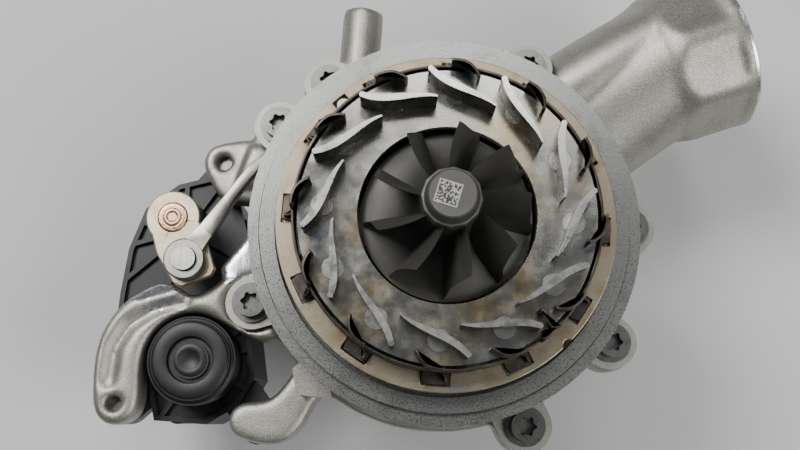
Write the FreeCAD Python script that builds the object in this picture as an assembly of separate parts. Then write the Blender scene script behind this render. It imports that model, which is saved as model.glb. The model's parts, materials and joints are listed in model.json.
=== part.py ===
import FreeCAD, Part
import math
import os

# Variable-geometry turbocharger without its turbine housing.
# Millimetres. The rotor axis is Z; the origin is the centre of the compressor inlet's end face.

# --- heights along the rotor axis ---
FLANGE_Z = 112.0          # machined face of the bearing housing's turbine flange
SPLIT_Z = 71.0            # joint between compressor housing and backplate
PLATE_TOP_Z = 74.5        # top of the backplate
ARM_BOTTOM_Z = 60.0       # underside of the bracket arms
ARM_TOP_Z = 73.5
FLAT_TOP_Z = 72.2         # machined pad between the arm and the backplate
RIB_TOP_Z = 58.8          # ribs on the gearcase roof
CASE_TOP_Z = 57.0         # roof of the actuator's gearcase
CASE_FLOOR_Z = 28.0
NOZZLE_TOP_Z = FLANGE_Z + 17.5
NOZZLE_BOTTOM_Z = FLANGE_Z + 11.3
RECESS_Z = FLANGE_Z - 2.0

# --- turbine side ---
FLANGE_R = 55.0
SPIGOT_R = 51.5
RECESS_R = 47.3
NOZZLE_R = 39.6
NOZZLE_BORE_R = 23.8
VANE_COUNT = 12
VANE_STEP = 360.0 / VANE_COUNT
VANE_PIVOT_R = 33.2
VANE_SHAFT_R = 2.0
VANE_CHORD = 19.7
VANE_PIVOT_SHARE = 0.407  # share of the chord from the outer tip to the pivot
VANE_CAMBER = 5.0
VANE_INCLINE = 26.8       # chord against the tangent, in degrees
VANE_TOP_Z = FLANGE_Z + 26.0
RING_R = 46.3             # unison ring
RING_BORE_R = 41.0
RING_Z = FLANGE_Z + 6.0
RING_THICK = 3.5
NOTCH_R = 44.5
GUIDE_PIN_R = 1.5
GUIDE_PIN_PLACE_R = 37.2
GUIDE_PIN_ANGLES = (15.0, 105.0, 195.0, 285.0)
ROLLER_R = 3.72
LEVER_Z = FLANGE_Z + 8.0
LEVER_THICK = 3.0
BAND_R = 40.3
BAND_THICK = 0.9
BAND_GAP_ANGLE = -44.5
CLAW_TOP_Z = FLANGE_Z + 23.5
TURBINE_BLADES = 9
WHEEL_R = 22.9

# --- compressor side ---
INLET_R = 20.5
INLET_LENGTH = 26.0
INDUCER_R = 18.5
EXDUCER_R = 24.8
COMPRESSOR_BLADES = 6
VOLUTE_R = 43.0
VOLUTE_Z = 57.0
VOLUTE_TUBE_R = 14.0
VOLUTE_WALL = 3.5
BOLT_PLACES = [(61.0, -24.7), (61.0, -60.3), (61.0, 200.6), (65.0, 146.0), (65.0, 127.0), (61.0, 10.6),
               (67.0, 68.0)]   # radius and angle of each bolt
BOLT_SHANK_R = 3.0
BOLT_FLANGE_R = 6.2
BOLT_HEAD_R = 4.7
OUTLET_ANGLE = 22.7       # outlet axis above +X, in degrees
OUTLET_FACE = (93.7, 79.3, 60.0)
OUTLET_R = 26.6
OUTLET_BORE_R = 22.5
OUTLET_LENGTH = 26.6
OUTLET_FLAT_R = 25.2      # distance of the collar's eight flats from its axis
STUB_X = -30.5
STUB_Z = 66.0
STUB_END_Y = 80.5

# --- rotor ---
SHAFT_R = 4.5
STEM_R = 3.0
BEARING_BORE_R = 7.0
BASE_SCREW_R = 28.0
BASE_SCREW_SHANK_R = 2.5
SCREW_TOPS_Z = (67.5, 66.0, 69.5)
BASE_SCREW_ANGLES = (40.0, 195.0, 325.0)
HUB_BORE_R = 8.5
PIN_R = 1.5               # pin that keeps the journal bearing from turning

# --- linkage ---
VTG_SHAFT = (-19.8, 19.8)
VTG_SHAFT_R = 3.0
INNER_LEVER_TIP_R = 43.0
ACTUATOR_SHAFT = (-83.8, 2.9)
LINK_PIN = (-78.2, -10.3)
LINK_KNEE = (-59.5, 20.5)
LINK_FAR = (-44.0, 30.0)
LINK_PIN_R = 3.0
FAR_PIN_R = 2.2
FAR_EYE_R = 3.8           # wide enough for the pin's path over the whole travel
SHAFT_END_R = 3.5
ARM_LEVER_Z = 76.5
ARM_LEVER_THICK = 3.0
LINK_Z = 79.8
LINK_THICK = 3.0
VTG_LEVER_Z = 83.2
VTG_LEVER_THICK = 3.0

# --- actuator drive ---
GEAR_MODULE = 0.75
PINION_TEETH = 10
IDLER_LARGE_TEETH = 42
IDLER_SMALL_TEETH = 12
SECTOR_TEETH = 56
MOTOR_AXIS = (-74.5, -40.6)
GEAR_SHAFT_R = 4.0
IDLER_PIN_R = 2.0
CASE_WALL = 2.2
SCREW_PLACES = [(-97.0, -55.5), (-71.6, 24.2), (-53.0, -58.5)]
SCREW_SHANK_R = 2.5
EAR_ROOTS = [(-90, -48), (-78, 15), (-62, -48)]
COVER_SCREW_SHANK_R = 1.5
COVER_SCREW_PLACES = [(-96.0, 2.0), (-98.5, -36.0), (-80.0, -57.0), (-62.0, -47.0), (-66.5, 5.0)]
CASE_OUTLINE = [(-76, 22), (-88, 18), (-98, 9), (-102, -5), (-103, -20), (-103, -35), (-101, -43), (-90, -50),
                (-87, -60), (-70, -60), (-60, -53), (-56, -44), (-59, -30), (-62, -14), (-63, 2), (-67, 14)]

UP = FreeCAD.Vector(0, 0, 1)


def vec(x, y, z=0.0):
    return FreeCAD.Vector(x, y, z)


def polar(radius, degrees, z=0.0):
    angle = math.radians(degrees)
    return vec(radius * math.cos(angle), radius * math.sin(angle), z)


def rod(radius, z0, z1, x=0.0, y=0.0):
    return Part.makeCylinder(radius, z1 - z0, vec(x, y, z0), UP)


def tube(outer, inner, z0, z1, x=0.0, y=0.0):
    return rod(outer, z0, z1, x, y).cut(rod(inner, z0 - 1, z1 + 1, x, y))


def rod_along(radius, start, direction, length):
    return Part.makeCylinder(radius, length, start, direction)


def turned(profile):
    """A closed (radius, height) outline turned about the rotor axis."""
    points = [vec(r, 0, z) for r, z in profile]
    face = Part.Face(Part.makePolygon(points + [points[0]]))
    return face.revolve(vec(0, 0, 0), UP, 360)


def prism(outline, z0, z1):
    points = [vec(x, y, z0) for x, y in outline]
    face = Part.Face(Part.makePolygon(points + [points[0]]))
    return face.extrude(vec(0, 0, z1 - z0))


def soft_prism(outline, z0, z1, radius):
    """A cast slab with a smooth closed outline and rounded upper and lower edges."""
    curve = Part.BSplineCurve()
    curve.interpolate([vec(x, y, z0) for x, y in outline], PeriodicFlag=True)
    body = Part.Face(Part.Wire(curve.toShape())).extrude(vec(0, 0, z1 - z0))
    rims = [edge for edge in body.Edges if abs(edge.BoundBox.ZLength) < 0.01]
    return body.makeFillet(radius, rims)


def rod_chain(radius, points, z):
    """A round bar along a line of points, with ball corners."""
    places = [vec(x, y, z) for x, y in points]
    pieces = [Part.makeSphere(radius, place) for place in places]
    pieces += [rod_along(radius, a, b - a, a.distanceToPoint(b)) for a, b in zip(places, places[1:])]
    return pieces[0].fuse(pieces[1:])


def bar(start, end, width, z0, z1):
    """A flat bar with round ends between two points of the plan."""
    dx, dy = end[0] - start[0], end[1] - start[1]
    length = math.hypot(dx, dy)
    nx, ny = -dy / length * width / 2, dx / length * width / 2
    outline = [(start[0] + nx, start[1] + ny), (end[0] + nx, end[1] + ny),
               (end[0] - nx, end[1] - ny), (start[0] - nx, start[1] - ny)]
    body = prism(outline, z0, z1)
    return body.fuse([rod(width / 2, z0, z1, *start), rod(width / 2, z0, z1, *end)])


def plate(degrees, inner, outer, half_width, z0, z1):
    """A box between two radii, square to the radius, at one angle."""
    box = Part.makeBox(outer - inner, 2 * half_width, z1 - z0, vec(inner, -half_width, z0))
    box.rotate(vec(0, 0, 0), UP, degrees)
    return box


def plan_places(polar_places):
    """The plan positions of (radius, angle) pairs."""
    return [(polar(radius, degrees).x, polar(radius, degrees).y) for radius, degrees in polar_places]


def rods_at(places, radius, z0, z1):
    return [rod(radius, z0, z1, x, y) for x, y in places]


def base_screw_places():
    return plan_places([(BASE_SCREW_R, degrees) for degrees in BASE_SCREW_ANGLES])


def vane_angle(index):
    return 90.0 - index * VANE_STEP


def one_solid(shape):
    return shape.removeSplitter()


def export(shape, name):
    if len(shape.Solids) == 1:
        shape = shape.Solids[0]
    shape.exportStep("parts/" + name + ".step")


# --- compressor side ---

def outlet_direction():
    return polar(1.0, OUTLET_ANGLE)


def outlet_section(centre, along, half_width, half_height):
    """An upright ellipse across the outlet neck."""
    side = UP.cross(along)
    side.normalize()
    across, rise = centre + side * half_width, centre + UP * half_height
    if half_height > half_width:
        across, rise = rise, across
    ellipse = Part.Ellipse(across, rise, centre)
    return Part.Wire(ellipse.toShape())


def outlet_neck(inset):
    face = vec(*OUTLET_FACE)
    root = face - outlet_direction() * OUTLET_LENGTH
    start = vec(30.0, 36.0, VOLUTE_Z - 2)
    along = root - start
    along.normalize()
    wide = outlet_section(start, along, 23.0 - inset, 13.5 - inset)
    middle = outlet_section((start + root) * 0.5, along, 23.5 - inset, 18.5 - inset)
    end = outlet_section(root + outlet_direction() * 2, outlet_direction(), 24.5 - inset, 24.5 - inset)
    return Part.makeLoft([wide, middle, end], True, False)


def outlet_collar():
    """The outlet's collar: a round bar with eight flats and a conical start."""
    root = vec(*OUTLET_FACE) - outlet_direction() * OUTLET_LENGTH
    body = Part.makeCone(OUTLET_BORE_R + 2.0, OUTLET_R, 5.0, root, outlet_direction())
    body = body.fuse(rod_along(OUTLET_R, root + outlet_direction() * 5, outlet_direction(), OUTLET_LENGTH - 5))
    corner_r = OUTLET_FLAT_R / math.cos(math.radians(22.5))
    corners = [vec(corner_r * math.cos(math.radians(45 * k)), corner_r * math.sin(math.radians(45 * k)))
               for k in range(8)]
    flats = Part.Face(Part.makePolygon(corners + [corners[0]])).extrude(vec(0, 0, OUTLET_LENGTH - 4.0))
    flats.rotate(vec(0, 0, 0), vec(0, 1, 0), 90)
    flats.rotate(vec(0, 0, 0), UP, OUTLET_ANGLE)
    flats.translate(root)
    face_ring = rod_along(OUTLET_R, root + outlet_direction() * (OUTLET_LENGTH - 4.0), outlet_direction(), 4.0)
    return body.common(flats.fuse(face_ring))


def neck_lobe():
    """The raised half of the outlet neck, on the side away from the flange."""
    face = vec(*OUTLET_FACE)
    root = face - outlet_direction() * OUTLET_LENGTH
    start = vec(22.0, 46.0, VOLUTE_Z)
    along = root - start
    along.normalize()
    shift = UP.cross(outlet_direction()) * 8.0
    wide = outlet_section(start, along, 13.0, 13.8)
    middle = outlet_section((start + root + shift) * 0.5, along, 15.0, 19.5)
    end = outlet_section(root + shift, outlet_direction(), 14.5, 22.0)
    return Part.makeLoft([wide, middle, end], True, False)


def bracket_arm():
    """The arm that reaches round the motor: a groove along its back and one milled edge."""
    outline = [(-48, -13), (-60.3, -13.1), (-66.6, -14.2), (-77.2, -20.1), (-83, -17), (-94.1, -20.7),
               (-100.4, -27.5), (-104.0, -35.8), (-104.7, -45.3), (-103.9, -54), (-101.5, -60), (-96.5, -62.2),
               (-91.5, -60), (-89.2, -54.5), (-89.8, -46), (-89.4, -37.8), (-85.9, -31.0), (-80.3, -26.8),
               (-75.0, -25.6), (-68.4, -27.1), (-61.0, -30.5), (-48, -31.5)]
    groove = [(-99.3, -48.8), (-99, -38.5), (-95.2, -31.1), (-87.8, -25.7), (-78.5, -22.6)]
    body = soft_prism(outline, ARM_BOTTOM_Z, ARM_TOP_Z, 2.4)
    body = body.cut(rod_chain(3.0, groove, ARM_TOP_Z + 1.0))
    edge_start, edge_end = vec(-93.5, -24.2, ARM_TOP_Z - 0.5), vec(-81.5, -19.8, ARM_TOP_Z - 0.5)
    outward = UP.cross(edge_end - edge_start)
    outward.normalize()
    section = [edge_start, edge_start + outward * 8 + vec(0, 0, -4.5), edge_start + outward * 8 + vec(0, 0, 2),
               edge_start + vec(0, 0, 2)]
    milled = Part.Face(Part.makePolygon(section + [section[0]])).extrude(edge_end - edge_start)
    return body.cut(milled)


def lower_foot():
    outline = [(-35, -34), (-41.7, -40.4), (-50.8, -51.2), (-58.8, -53.1), (-61.4, -57.6), (-60.2, -61.4),
               (-55.3, -63.8), (-45.0, -64.1), (-40.5, -61.4), (-33.7, -49.3), (-29, -42)]
    return soft_prism(outline, ARM_BOTTOM_Z, ARM_TOP_Z - 1.5, 2.0)


def upper_lug():
    outline = [(-48, 34), (-58.9, 33), (-72.5, 31), (-77.4, 28), (-78.3, 23.3), (-75.2, 17), (-69.2, 11.2),
               (-65.3, 11.5), (-48, 10)]
    body = soft_prism(outline, ARM_BOTTOM_Z, SPLIT_Z - 1.0, 1.6)
    pad = [(-63.1, 29.8), (-56.5, 29.0), (-58.5, 16.8), (-66.6, 16.4)]
    return body.fuse(prism(pad, SPLIT_Z - 6.0, SPLIT_Z + 1.4))


def milled_pad():
    """A machined pad beside the bolt, level with the linkage."""
    outline = [(-69, -11), (-61.2, 0.5), (-52, 6), (-50, -14), (-60.3, -16), (-66.6, -17)]
    return prism(outline, ARM_BOTTOM_Z, FLAT_TOP_Z)


def compressor_housing_outside():
    core = turned([(15, 0), (26.5, 0), (26.5, 4), (25, 5.5), (25, 37), (31, 44), (31, SPLIT_Z), (15, SPLIT_Z)])
    scroll = Part.makeTorus(VOLUTE_R, VOLUTE_TUBE_R, vec(0, 0, VOLUTE_Z), UP)
    rim = tube(57.0, 30.0, 64.0, SPLIT_Z)
    lugs = rods_at(plan_places(BOLT_PLACES), 8.8, 59.0, SPLIT_Z)
    webs = [plate(a, 44.0, r, 8.8, 61.0, SPLIT_Z) for r, a in BOLT_PLACES]
    stub = rod_along(6.8, vec(STUB_X, 40, STUB_Z), vec(0, 1, 0), STUB_END_Y - 40)
    pieces = [scroll, rim, outlet_collar(), outlet_neck(0.0), neck_lobe(), bracket_arm(), lower_foot(), upper_lug(),
              milled_pad(), stub]
    return core.fuse(pieces + lugs + webs)


def compressor_housing():
    bore = turned([(0, -1), (INLET_R, -1), (INLET_R, INLET_LENGTH), (18.9, 36), (18.9, 46), (20.4, 55), (22.9, 61),
                   (25.3, 63.5), (36, 63.5), (36, 67), (33.1, 67), (33.1, SPLIT_Z + 1), (0, SPLIT_Z + 1)])
    face = vec(*OUTLET_FACE)
    root = face - outlet_direction() * OUTLET_LENGTH
    channel = Part.makeTorus(VOLUTE_R, VOLUTE_TUBE_R - VOLUTE_WALL, vec(0, 0, VOLUTE_Z), UP)
    above_split = rod(FLANGE_R + 2.5, SPLIT_Z, ARM_TOP_Z + 1)
    socket_bore = rod_along(OUTLET_BORE_R, root + outlet_direction() * 8, outlet_direction(), OUTLET_LENGTH)
    seal_groove = rod_along(OUTLET_BORE_R + 1.7, face - outlet_direction() * 6, outlet_direction(), 3.0)
    port = rod_along(3.5, vec(STUB_X, STUB_END_Y - 14, STUB_Z), vec(0, 1, 0), 15)
    rotor_room = rod(18.9, 0, 40)
    bolts = plan_places(BOLT_PLACES)
    lug_tops = rods_at(bolts, 9.2, SPLIT_Z, ARM_TOP_Z + 1)
    lug_tops += [plate(a, 44.0, r, 8.6, SPLIT_Z, ARM_TOP_Z + 1) for r, a in BOLT_PLACES]
    holes = rods_at(bolts, BOLT_SHANK_R, 57.0, SPLIT_Z + 1)
    holes += rods_at(SCREW_PLACES[:2], SCREW_SHANK_R, ARM_BOTTOM_Z - 1, ARM_TOP_Z + 1)
    holes += rods_at(SCREW_PLACES[2:], SCREW_SHANK_R, ARM_BOTTOM_Z - 1, SCREW_TOPS_Z[2] + 0.1)
    body = compressor_housing_outside().cut(bore.fuse([channel, outlet_neck(VOLUTE_WALL)]))
    body = body.cut([above_split, socket_bore, seal_groove, port, rotor_room])
    return one_solid(body.cut(lug_tops + holes))


def compressor_backplate():
    disc = rod(56.0, SPLIT_Z, PLATE_TOP_Z)
    spigot = rod(33.0, 67.0, SPLIT_Z)
    bolts = plan_places(BOLT_PLACES)
    lugs = rods_at(bolts, 8.3, SPLIT_Z, PLATE_TOP_Z)
    webs = [plate(a, 44.0, r, 8.3, SPLIT_Z, PLATE_TOP_Z) for r, a in BOLT_PLACES]
    block = prism([(-33, -34), (-41, -41.5), (-39, -49), (-28.6, -49)], ARM_TOP_Z - 1.2, 90.0)
    body = disc.fuse([spigot, block] + lugs + webs)
    groove = tube(34.0, 31.3, 68.1, 69.9)
    holes = rods_at(bolts, BOLT_SHANK_R, SPLIT_Z - 1, PLATE_TOP_Z + 1)
    taps = rods_at(base_screw_places(), BASE_SCREW_SHANK_R, 68.0, PLATE_TOP_Z + 1)
    return one_solid(body.cut([groove, rod(7.5, 60, 80)] + holes + taps))


def backplate_seal():
    return Part.makeTorus(32.2, 0.85, vec(0, 0, 69.0), UP)


def outlet_seal():
    start = vec(*OUTLET_FACE) - outlet_direction() * 5.8
    ring = rod_along(OUTLET_BORE_R + 1.6, start, outlet_direction(), 2.6)
    return ring.cut(rod_along(OUTLET_BORE_R + 0.1, start - outlet_direction(), outlet_direction(), 5))


def star_socket(radius, z0, z1, x, y):
    """A six-lobed drive recess."""
    lobes = [rod(radius * 0.24, z0, z1, x + 0.76 * radius * math.cos(math.radians(60 * k)),
                 y + 0.76 * radius * math.sin(math.radians(60 * k))) for k in range(6)]
    return rod(radius * 0.78, z0, z1, x, y).fuse(lobes)


def housing_bolts():
    bolts = []
    for x, y in plan_places(BOLT_PLACES):
        flange = rod(BOLT_FLANGE_R, PLATE_TOP_Z, PLATE_TOP_Z + 1.4, x, y)
        head = rod(BOLT_HEAD_R, PLATE_TOP_Z, PLATE_TOP_Z + 4.5, x, y)
        bolt = flange.fuse([head, rod(BOLT_SHANK_R, 58.0, PLATE_TOP_Z, x, y)])
        bolts.append(one_solid(bolt.cut(star_socket(3.0, PLATE_TOP_Z + 1.5, PLATE_TOP_Z + 5, x, y))))
    return Part.makeCompound(bolts)


# --- bearing housing and what it carries ---

def bearing_housing():
    body = turned([(16, PLATE_TOP_Z), (36, PLATE_TOP_Z), (36, 80), (18.5, 82), (18.5, 98), (40, 102), (FLANGE_R, 102),
                   (FLANGE_R, FLANGE_Z), (SPIGOT_R, FLANGE_Z), (SPIGOT_R, FLANGE_Z + 2), (RECESS_R, FLANGE_Z + 2),
                   (RECESS_R, RECESS_Z), (28, RECESS_Z), (28, NOZZLE_BOTTOM_Z), (24.6, NOZZLE_BOTTOM_Z),
                   (24.6, RECESS_Z), (13, RECESS_Z), (13, 119), (HUB_BORE_R, 119), (HUB_BORE_R, 106), (BEARING_BORE_R, 106),
                   (BEARING_BORE_R, 85), (16, 85)])
    oil_in = rod_along(7.6, vec(0, 10, 90), vec(0, 1, 0), 28)
    oil_out = rod_along(8.7, vec(0, -10, 91), vec(0, -1, 0), 28)
    vtg_boss = rod(8.5, 96, 106, *VTG_SHAFT)
    body = body.fuse([oil_in, oil_out, vtg_boss])
    feed = rod_along(1.5, vec(0, 5, 95.5), vec(0, 1, 0), 20)
    inlet = rod_along(5.0, vec(0, 26, 90), vec(0, 1, 0), 13)
    cross = rod_along(1.2, vec(0, 24, 90), vec(0, 0, 1), 5.5)
    feed_in = rod_along(1.5, vec(0, 23, 90), vec(0, 1, 0), 5)
    drain = rod_along(6.5, vec(0, -24, 91), vec(0, -1, 0), 15)
    drain_in = rod_along(5.0, vec(0, -10, 91), vec(0, -1, 0), 16)
    cavity = rod(BEARING_BORE_R, 80, 107)
    rotor_room = rod(16, PLATE_TOP_Z - 1, 85)
    heads = rods_at(base_screw_places(), 4.6, 80, 90)
    lever_slot = plate(135, 20.0, 40.0, 8.0, RECESS_Z, 114.6).cut(rod(23.4, 100, 120))
    lever_room = [rod(8.0, RECESS_Z, 114.6, *VTG_SHAFT), lever_slot]
    bush_bore = rod(5.0, 90, 112, *VTG_SHAFT)
    pin_hole = rod_along(PIN_R, vec(0, -BEARING_BORE_R + 2, 99.0), vec(0, -1, 0), 9)
    screws = rods_at(base_screw_places(), BASE_SCREW_SHANK_R + 0.2, PLATE_TOP_Z - 1, 81)
    voids = [feed, inlet, cross, feed_in, drain, drain_in, cavity, rotor_room, bush_bore, pin_hole]
    groove = tube(SPIGOT_R + 0.5, SPIGOT_R, FLANGE_Z - 0.6, FLANGE_Z + 1)
    return one_solid(body.cut(voids + lever_room + screws + heads + [groove]))


def bearing_housing_screws():
    screws = []
    for x, y in base_screw_places():
        screw = rod(4.2, 80, 82.8, x, y).fuse(rod(BASE_SCREW_SHANK_R, 68.5, 80, x, y))
        screws.append(one_solid(screw.cut(star_socket(2.3, 81.2, 83, x, y))))
    return Part.makeCompound(screws)


def heat_shield():
    return turned([(10, 121.2), (20.5, 121.2), (20.5, RECESS_Z), (22.8, RECESS_Z), (22.8, RECESS_Z + 0.9),
                   (21.5, RECESS_Z + 0.9), (21.5, 122.2), (10, 122.2)])


def journal_bearing():
    body = tube(BEARING_BORE_R - 0.05, SHAFT_R + 0.04, 85.3, 105.5)
    waist = tube(8.0, BEARING_BORE_R - 0.7, 92, 94.5)
    pin_hole = rod_along(PIN_R, vec(0, 0, 99.0), vec(0, -1, 0), 9)
    feed = rod_along(1.2, vec(0, 0, 95.8), vec(0, 1, 0), 9)
    return one_solid(body.cut([waist, pin_hole, feed]))


def bearing_pin():
    return rod_along(PIN_R, vec(0, -SHAFT_R - 0.4, 99.0), vec(0, -1, 0), 8.5)


def thrust_bearing():
    disc = rod(15.5, 80, 83)
    gap = Part.makeBox(13.8, 20, 5, vec(-6.9, -20, 79))
    return one_solid(disc.cut([rod(6.9, 79, 84), gap]))


def thrust_collar():
    return turned([(STEM_R + 0.01, 71.5), (7.0, 71.5), (7.0, 72.4), (6.2, 72.4), (6.2, 74.0), (7.0, 74.0), (7.0, 76.2),
                   (10.5, 77.0), (10.5, 79.6), (6.5, 79.6), (6.5, 83.4), (9.5, 83.4), (9.5, 84.6), (SHAFT_R + 1.5, 84.6),
                   (STEM_R + 0.01, 84.6)])


def piston_rings():
    turbine = tube(HUB_BORE_R - 0.02, 7.3, 115.2, 116.4)
    compressor = tube(7.48, 6.4, 72.6, 73.8)
    return Part.makeCompound([turbine, compressor])


def rotor_shaft():
    return turned([(0, 30), (STEM_R, 30), (STEM_R, 84.6), (SHAFT_R, 84.6), (SHAFT_R, 110), (0, 110)])


def radial_blades(count, outline, thickness, first):
    blades = []
    for k in range(count):
        points = [vec(r, -thickness / 2, z) for r, z in outline]
        blade = Part.Face(Part.makePolygon(points + [points[0]])).extrude(vec(0, thickness, 0))
        blade.rotate(vec(0, 0, 0), UP, first + 360.0 * k / count)
        blades.append(blade)
    return blades


def turbine_wheel():
    hub = turned([(0, 110), (8, 110), (8, 115), (7, 115), (7, 116.6), (8, 116.6), (8, 123.6), (WHEEL_R, 124.2),
                  (WHEEL_R, 125.4), (16, 127), (11, 131), (8.5, 137), (7.4, 143), (7.4, 150.4), (6.1, 151.0),
                  (6.1, 154.4), (0, 154.4)])
    edge = [(4.5, 148.5), (19.6, 149), (19.9, 143), (21, 138), (22.4, 134.5), (22.4, 124.9), (5, 124.9)]
    return one_solid(hub.fuse(radial_blades(TURBINE_BLADES, edge, 1.2, 88.0)))


def compressor_wheel():
    hub = turned([(STEM_R + 0.01, 38), (5.6, 38), (6.0, 46), (8.0, 54), (13, 61), (19, 64), (EXDUCER_R, 65),
                  (EXDUCER_R, 66.4), (7.0, 66.6), (7.0, 71.5), (STEM_R + 0.01, 71.5)])
    full = [(4.5, 39.5), (INDUCER_R - 0.1, 40), (INDUCER_R - 0.1, 46), (20.0, 55), (22.4, 61), (24.6, 63.1), (24.6, 66),
            (4.5, 66)]
    split = [(4.5, 47), (18.6, 47), (20.0, 55), (22.4, 61), (24.6, 63.1), (24.6, 66), (4.5, 66)]
    blades = radial_blades(COMPRESSOR_BLADES, full, 1.0, 0.0) + radial_blades(COMPRESSOR_BLADES, split, 0.9, 30.0)
    return one_solid(hub.fuse(blades).cut(rod(STEM_R + 0.01, 30, 80)))


def compressor_nut():
    hexagon = [(5.2 * math.cos(math.radians(60 * k)), 5.2 * math.sin(math.radians(60 * k))) for k in range(6)]
    body = prism(hexagon, 33.0, 37.0).fuse(rod(5.2, 37.0, 38.0))
    return one_solid(body.cut(rod(STEM_R, 30, 40)))


# --- nozzle cartridge ---

def nozzle_plate():
    body = tube(NOZZLE_R, NOZZLE_BORE_R, NOZZLE_BOTTOM_Z, NOZZLE_TOP_Z)
    cuts = []
    for k in range(VANE_COUNT):
        place = polar(VANE_PIVOT_R, vane_angle(k))
        cuts.append(rod(VANE_SHAFT_R + 0.05, NOZZLE_BOTTOM_Z - 1, NOZZLE_TOP_Z + 1, place.x, place.y))
        cuts.append(rod(3.06, NOZZLE_TOP_Z - 1.3, NOZZLE_TOP_Z + 1, place.x, place.y))
    cuts += rods_at(guide_pin_places(), GUIDE_PIN_R, NOZZLE_BOTTOM_Z - 1, NOZZLE_BOTTOM_Z + 3)
    return one_solid(body.cut(cuts))


def guide_pin_places():
    return plan_places([(GUIDE_PIN_PLACE_R, degrees) for degrees in GUIDE_PIN_ANGLES])


def ring_guide_pins():
    pins = []
    for x, y in guide_pin_places():
        pin = rod(GUIDE_PIN_R, RING_Z - 1.4, NOZZLE_BOTTOM_Z + 2.9, x, y)
        roller = rod(ROLLER_R, RING_Z - 0.3, RING_Z + RING_THICK + 0.3, x, y)
        flange = rod(4.6, RING_Z - 1.4, RING_Z - 0.3, x, y)
        pins.append(one_solid(pin.fuse([roller, flange])))
    return Part.makeCompound(pins)


def unison_ring():
    body = tube(RING_R, RING_BORE_R, RING_Z, RING_Z + RING_THICK)
    cuts = [plate(vane_angle(k), 39.0, NOTCH_R, 3.9, RING_Z - 1, RING_Z + 5) for k in range(VANE_COUNT)]
    cuts.append(plate(135.0, 39.0, 45.2, 2.15, RING_Z - 1, RING_Z + 5))
    cuts += rods_at(plan_places([(RING_R + 0.4, -42.0)]), 1.6, RING_Z - 1, RING_Z + 5)
    return one_solid(body.cut(cuts))


def vane_point(share, side):
    """A point on one side of the vane: along the chord from the outer tip, and towards the rotor."""
    camber = VANE_CAMBER * share * (1 - share) * (1.3 - 2 * share)
    half = 0.75 - 0.5 * share + 0.45 * math.sin(math.pi * share) * (1 - 0.4 * share)
    return vec((share - VANE_PIVOT_SHARE) * VANE_CHORD, -camber - side * half)


def vane(index):
    shares = [k / 10.0 for k in range(11)]
    inner = Part.BSplineCurve()
    inner.interpolate([vane_point(s, 1) for s in shares])
    outer = Part.BSplineCurve()
    outer.interpolate([vane_point(s, -1) for s in reversed(shares)])
    tail = Part.LineSegment(vane_point(1, 1), vane_point(1, -1))
    nose = Part.Arc(vane_point(0, -1), vane_point(0, 0) + vec(-0.75, 0), vane_point(0, 1))
    wire = Part.Wire([inner.toShape(), tail.toShape(), outer.toShape(), nose.toShape()])
    foil = Part.Face(wire).extrude(vec(0, 0, VANE_TOP_Z - NOZZLE_TOP_Z - 0.2))
    angle = vane_angle(index)
    foil.rotate(vec(0, 0, 0), UP, angle - 90.0 - VANE_INCLINE)
    place = polar(VANE_PIVOT_R, angle)
    foil.translate(vec(place.x, place.y, NOZZLE_TOP_Z + 0.2))
    disc = rod(3.0, NOZZLE_TOP_Z - 1.2, NOZZLE_TOP_Z + 0.2, place.x, place.y)
    shaft = rod(VANE_SHAFT_R, LEVER_Z, NOZZLE_TOP_Z, place.x, place.y)
    return one_solid(foil.fuse([disc, shaft]))


def vane_lever(index):
    angle = vane_angle(index)
    place = polar(VANE_PIVOT_R, angle)
    top = LEVER_Z + LEVER_THICK
    head_place = polar(42.2, angle)
    head = rod(3.5, LEVER_Z, top, head_place.x, head_place.y)
    head = head.common(plate(angle, 39.5, NOTCH_R - 0.35, 5, LEVER_Z, top))
    bar_part = plate(angle, VANE_PIVOT_R, 41.0, 2.3, LEVER_Z, top)
    body = rod(4.2, LEVER_Z, top, place.x, place.y).fuse([bar_part, head])
    return one_solid(body.cut(rod(VANE_SHAFT_R, LEVER_Z - 1, top + 1, place.x, place.y)))


def claw(degrees):
    """A thin curved finger that stands on the band and leans in over the plate."""
    base, middle, tip = polar(40.75, degrees + 2), polar(39.9, degrees - 4), polar(37.0, degrees - 9)
    centre = Part.Arc(base, middle, tip).toShape().Curve.Center
    outer = [point + (point - centre).normalize() * 0.4 for point in (base, middle, tip)]
    inner = [point - (point - centre).normalize() * 0.4 for point in (base, middle, tip)]
    edges = [Part.Arc(*outer).toShape(), Part.LineSegment(outer[2], inner[2]).toShape(),
             Part.Arc(inner[2], inner[1], inner[0]).toShape(), Part.LineSegment(inner[0], outer[0]).toShape()]
    z0 = NOZZLE_TOP_Z + 0.3
    finger = Part.Face(Part.Wire(edges)).extrude(vec(0, 0, CLAW_TOP_Z - z0))
    finger.translate(vec(0, 0, z0))
    return finger


def guide_band():
    z0, z1 = NOZZLE_BOTTOM_Z + 0.2, NOZZLE_TOP_Z + 0.3
    band = tube(BAND_R + BAND_THICK, BAND_R, z0, z1)
    band = band.cut(plate(BAND_GAP_ANGLE, 38.0, 43.0, 1.2, z0 - 1, z1 + 1))
    claws = [claw(vane_angle(k)) for k in range(VANE_COUNT)]
    hooks = [hook(BAND_GAP_ANGLE + 2.7, BAND_GAP_ANGLE + 1.3), hook(BAND_GAP_ANGLE - 2.7, BAND_GAP_ANGLE - 1.3)]
    return one_solid(band.fuse(claws + hooks))


def hook(root_angle, tip_angle):
    """One end of the band, turned in over the plate."""
    root, tip = polar(40.9, root_angle), polar(37.2, tip_angle)
    return bar((root.x, root.y), (tip.x, tip.y), 0.9, NOZZLE_TOP_Z + 0.3, CLAW_TOP_Z)


# --- adjusting linkage ---

def vtg_bush():
    return tube(5.0, VTG_SHAFT_R + 0.04, 96, 109.8, *VTG_SHAFT)


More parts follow.
